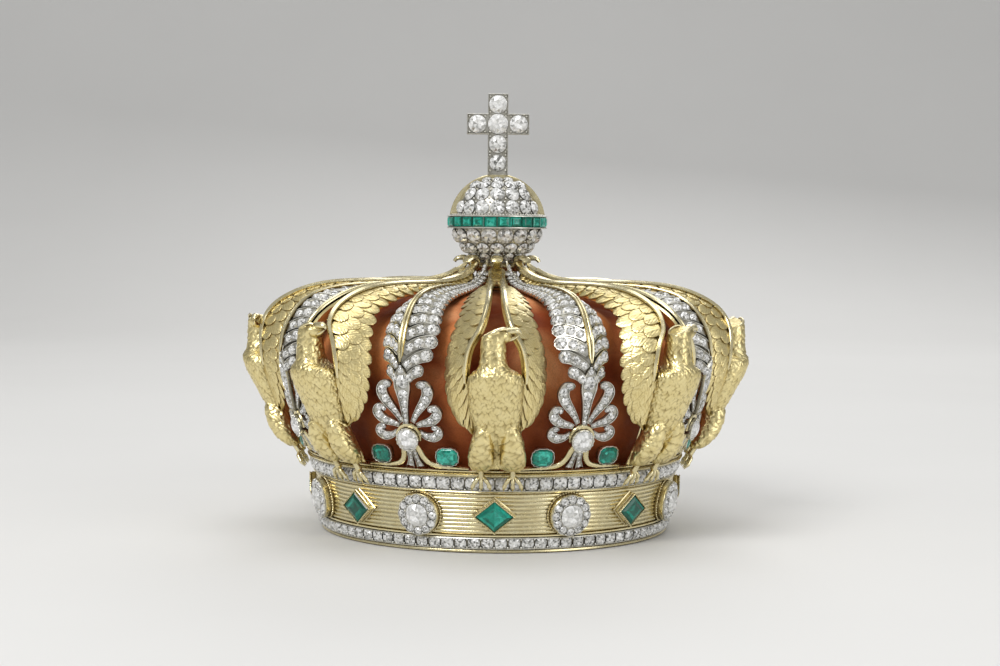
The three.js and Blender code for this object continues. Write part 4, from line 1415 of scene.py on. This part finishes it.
def hoop():
    """The gold half hoop over the dome from side to side, with a fine raised edge on both rims."""
    shape = Shape()
    section = [(1, -1), (1, 0.85), (0.88, 1), (0.76, 0.8, 0.3), (0, 0.9)]
    section += [(-0.76, 0.8, 0.3), (-0.88, 1), (-1, 0.85), (-1, -1)]
    angles = np.radians(np.linspace(8.5, 171.5, 72))
    outward = np.stack([np.cos(angles), np.zeros(72), np.sin(angles)], axis=1)
    shape.sweep(ORB_CENTRE * UP + HOOP_RADIUS * outward, outward, section, 1.45, 1.4)
    return shape


CROSS_MIDDLE = 119.1

# The stones of the cross (across, height, radius), and the steps of its rim (inset, depth, relief).
CROSS_STONES = [(0, CROSS_MIDDLE, 3.0), (0, 124.9, 2.72), (6.1, CROSS_MIDDLE, 2.7), (-6.1, CROSS_MIDDLE, 2.7)]
CROSS_STONES += [(0, 113.2, 2.65), (0, 107.7, 2.45)]
CROSS_RIM = [(0.75, 1.1, 0.5), (0.3, 1.2, 0.4), (0.22, 1.6, 1), (0.1, 1.6, 1), (0, 1.45, 1), (0, 1.0, 0.7)]
CROSS_RIM += [(0.14, 0.85, 0.3)]


def cross():
    """The cross: a silver body with a rim on both faces, six stones to a face and grains in the corners."""
    metal, stones = Shape(), Shape()
    half, span, top, bottom = 3.0, 9.2, 128.0, 104.1
    under, over = CROSS_MIDDLE - half, CROSS_MIDDLE + half
    quarter = [(half, bottom), (half, under), (span, under), (span, over), (half, over), (half, top)]
    outline = np.array(quarter + [(-x, z) for x, z in quarter[::-1]])
    away = np.sign(outline - [0, CROSS_MIDDLE])
    rings = [[at(x, depth, z) for x, z in outline - inset * away] for inset, depth, _ in CROSS_RIM]
    rings += [np.array(ring) * [1, -1, 1] for ring in rings[::-1]]
    relief = [clear for _, _, clear in CROSS_RIM]
    metal.loft(rings, relief=np.array(relief + relief[::-1])[:, None])
    for facing in (1, -1):
        normal = at(0, facing, 0)
        for x, z, radius in CROSS_STONES:
            brilliant(stones, at(x, facing * 1.42, z), normal, radius, lift=0.36)
            for dx, dz in ((1, 1), (1, -1), (-1, 1), (-1, -1)):
                metal.bead(at(x + 2.3 * dx, facing * 1.3, z + 2.3 * dz), 0.42, normal)
    return metal, stones


# The boss that the arches are fastened to, with a grooved edge, and the bolt up through it.
HUB = [(1.6, 71.3), (5.8, 71.3), (6.6, 71.8), (6.8, 72.6), (6.2, 73.2, 0)]
HUB += [(6.0, 75.4, 0.5), (6.6, 76.2), (6.8, 77.4), (6.2, 78.2), (1.6, 78.2)]
BOLT = [(0.05, 69.8), (2.4, 69.8), (3.1, 70.1), (3.2, 70.6), (2.9, 70.9), (1.3, 70.95)]
BOLT += [(1.3, 83.5), (0.05, 83.5)]

halves = {"bowl": bowl(), "dome": dome()}
for half, (metal, stones) in halves.items():
    make_piece(f"orb_{half}_silver", metal, SILVER, f"orb_{half}")
    make_piece(f"orb_{half}_diamonds", stones, DIAMOND, f"orb_{half}")
metal, stones = belt()
make_piece("orb_belt_edges", metal, SILVER, "orb_belt")
make_piece("orb_belt_emeralds", stones, EMERALD, "orb_belt")
make_piece("orb_hoop_gold", hoop(), GOLD, "orb_hoop")
metal, stones = cross()
make_piece("cross_silver", metal, SILVER, "cross", angle=30)
make_piece("cross_diamonds", stones, DIAMOND, "cross")
make_piece("hub_gold", Shape().lathe(HUB, 64), GOLD, "arch_hub")
make_piece("bolt_gold", Shape().lathe(BOLT, 32), GOLD, "finial_bolt")


# ---- cap and lining ----

CAP = [(49.3, 19.9), (50.2, 23.6), (52.8, 28), (55.0, 34), (56.3, 41), (56.6, 48), (55.2, 55.5), (51.2, 62)]
CAP += [(44.5, 66.3), (34, 68.9), (21, 70.2), (12, 70.4), (6, 69.3)]
CAP_THICKNESS = 0.8


def cap():
    """The velvet cap: a thin skin that swells between the arches and gathers into soft creased folds."""
    shape = Shape()
    rows, columns = 110, 320
    share = np.linspace(0, 1, rows)
    profile = Curve(CAP)(share)
    s, a = np.meshgrid(share, np.arange(columns) * 2 * math.pi / columns, indexing="ij")

    def bell(middle, spread):
        """A share of the way up the cap where folds are strongest, fading to both sides of it."""
        return np.exp(-(((s - middle) / spread) ** 2))

    def crease(around, along, wander, phase):
        """Rounded ridges with sharp valleys between them."""
        bend = wander * np.sin(3 * a + 4 * s + phase) + 0.6 * wander * np.sin(5 * a - 7 * s + 2 * phase)
        return np.abs(np.sin(0.5 * (around * a + along * s + bend))) - 0.6

    lift = -0.5 * np.cos(2 * ARCHES * a) * bell(0.42, 0.3)
    lift += 1.3 * crease(9, 21, 1.3, 0.4) * bell(0.42, 0.3)
    lift += 0.9 * crease(14, -17, 1.7, 2.1) * bell(0.42, 0.3)
    lift += 0.45 * crease(31, 8, 1.6, 1.1) * bell(0.10, 0.1)
    lift += 0.7 * crease(21, 6, 2.0, 3.0) * bell(0.66, 0.2)
    lift = (lift - 0.5) * np.clip(s / 0.08, 0, 1) * np.clip((1 - s) / 0.1, 0, 1)
    slope = np.gradient(profile, axis=0)
    normal = unit(np.stack([slope[:, 1], -slope[:, 0]], axis=1))

    def skin(depth):
        r, z = (profile[:, k : k + 1] + normal[:, k : k + 1] * (lift - depth) for k in (0, 1))
        return np.stack([r * np.sin(a), -r * np.cos(a), z], axis=-1)

    shape.loft([*skin(0.0), *skin(CAP_THICKNESS)[::-1]], closed=True)
    # Painted light on the velvet: lighter up to the shoulder as painted highlight, darker lower down and in
    # the creases' valleys as painted shade.
    height = np.interp(profile[:, 1], [24, 36, 48, 60, 66], [0.15, 0.4, 0.75, 1.0, 0.8])[:, None]
    tone = np.clip(height * (0.85 + 0.9 * lift), 0, 1)
    shape.relief[: rows * columns] = tone.ravel().tolist()
    last, first_inner, tips = (rows - 1) * columns, rows * columns, 2 * rows * columns
    inner = [face[1::-1] + face[2:] for face in fan(first_inner, tips + 1, columns)]
    shape.add([(0, 0, 69.2), (0, 0, 68.4)], [])
    for pair in zip(fan(last, tips, columns), inner):
        shape.faces += pair
        shape.tone += [0.5, 0.5]
    return shape


def lining():
    """The leather headband inside the circlet, with a rolled edge and two lines of stitches."""
    leather, thread = Shape(), Shape()
    profile = [(47.6, 0.9), (47.9, 0.6), (48.4, 0.7), (48.5, 1.2), (49.6, 19.2)]
    profile += [(49.3, 19.4), (48.7, 19.3), (48.4, 18.6), (47.5, 1.5)]
    leather.lathe(profile, 160)
    stitches = 150
    wide, thick = [0.14, 0.18, 0.18, 0.14], [0.12, 0.18, 0.18, 0.12]
    for i in range(stitches):
        for height, radius in ((1.9, 47.5), (17.9, 48.35)):
            path = [turned(at(0, radius, height), 360 / stitches * (i + t)) for t in (0.15, 0.35, 0.6, 0.8)]
            thread.sweep(path, path * np.array([-1, -1, 0]), circle(5), wide, thick)
    return leather, thread


velvet_cap = make_piece("cap_velvet", cap(), VELVET, "velvet_cap", angle=80)
leather_band, thread = lining()
make_piece("lining_leather", leather_band, LEATHER, "headband_lining")
make_piece("lining_stitches", thread, VELVET, "headband_lining")


# ---- stage, light and camera ----


def stage():
    """A pale floor that curves up into a backdrop behind the crown."""
    shape = Shape()
    bend = [(900 + 900 * math.sin(a), 900 - 900 * math.cos(a)) for a in np.linspace(0, math.pi / 2, 24)]
    profile = [(-9000, 0), (-2500, 0), (-900, 0), (0, 0), (400, 0), *bend, (1800, 2600)]
    shape.sheet(np.array([[(x, y, z) for x in np.linspace(6000, -6000, 13)] for y, z in profile]))
    place_thing("floor", make_mesh("floor", shape, floor_paint()), (0, 0, -0.00005), (0, 0, 0))


def place_thing(name, data, place, turn):
    """An object of the stage, at a place in metres."""
    thing = bpy.data.objects.new(name, data)
    bpy.context.scene.collection.objects.link(thing)
    thing.location = place
    thing.rotation_euler = turn
    return thing


def softbox(name, place, target, size, power):
    """A rectangular light that looks at a height on the crown's axis."""
    data = bpy.data.lights.new(name, "AREA")
    data.shape = "RECTANGLE"
    data.size, data.size_y = size
    data.energy = power
    aim = Vector((0, 0, target)) - Vector(place)
    place_thing(name, data, place, aim.to_track_quat("-Z", "Y").to_euler())


def camera():
    """The photo's view, from a little over half a metre away and looking slightly down."""
    data = bpy.data.cameras.new("camera")
    data.sensor_width = 36
    data.lens = 66.6
    data.clip_start = 0.01
    turn = [math.radians(degrees) for degrees in (90 - 3.15, -0.55, -0.09)]
    bpy.context.scene.camera = place_thing("camera", data, (0.0, -0.55, 0.0875), turn)


def world():
    background = bpy.data.worlds.new("studio")
    background.use_nodes = True
    shade = background.node_tree.nodes["Background"]
    shade.inputs["Color"].default_value = (0.9, 0.9, 0.9, 1)
    shade.inputs["Strength"].default_value = 0.45
    bpy.context.scene.world = background


stage()
softbox("key", (-0.6, -0.95, 0.95), 0.06, (0.6, 0.6), 10.5)
softbox("fill", (0.95, -0.8, 0.45), 0.06, (0.7, 0.9), 3.8)
softbox("top", (0.0, 0.05, 1.2), 0.05, (0.9, 0.9), 4.6)
softbox("back", (0.2, 1.1, 0.7), 0.08, (0.8, 0.5), 3.6)
world()
camera()
bpy.context.scene.view_settings.view_transform = "Standard"

bpy.context.view_layer.update()
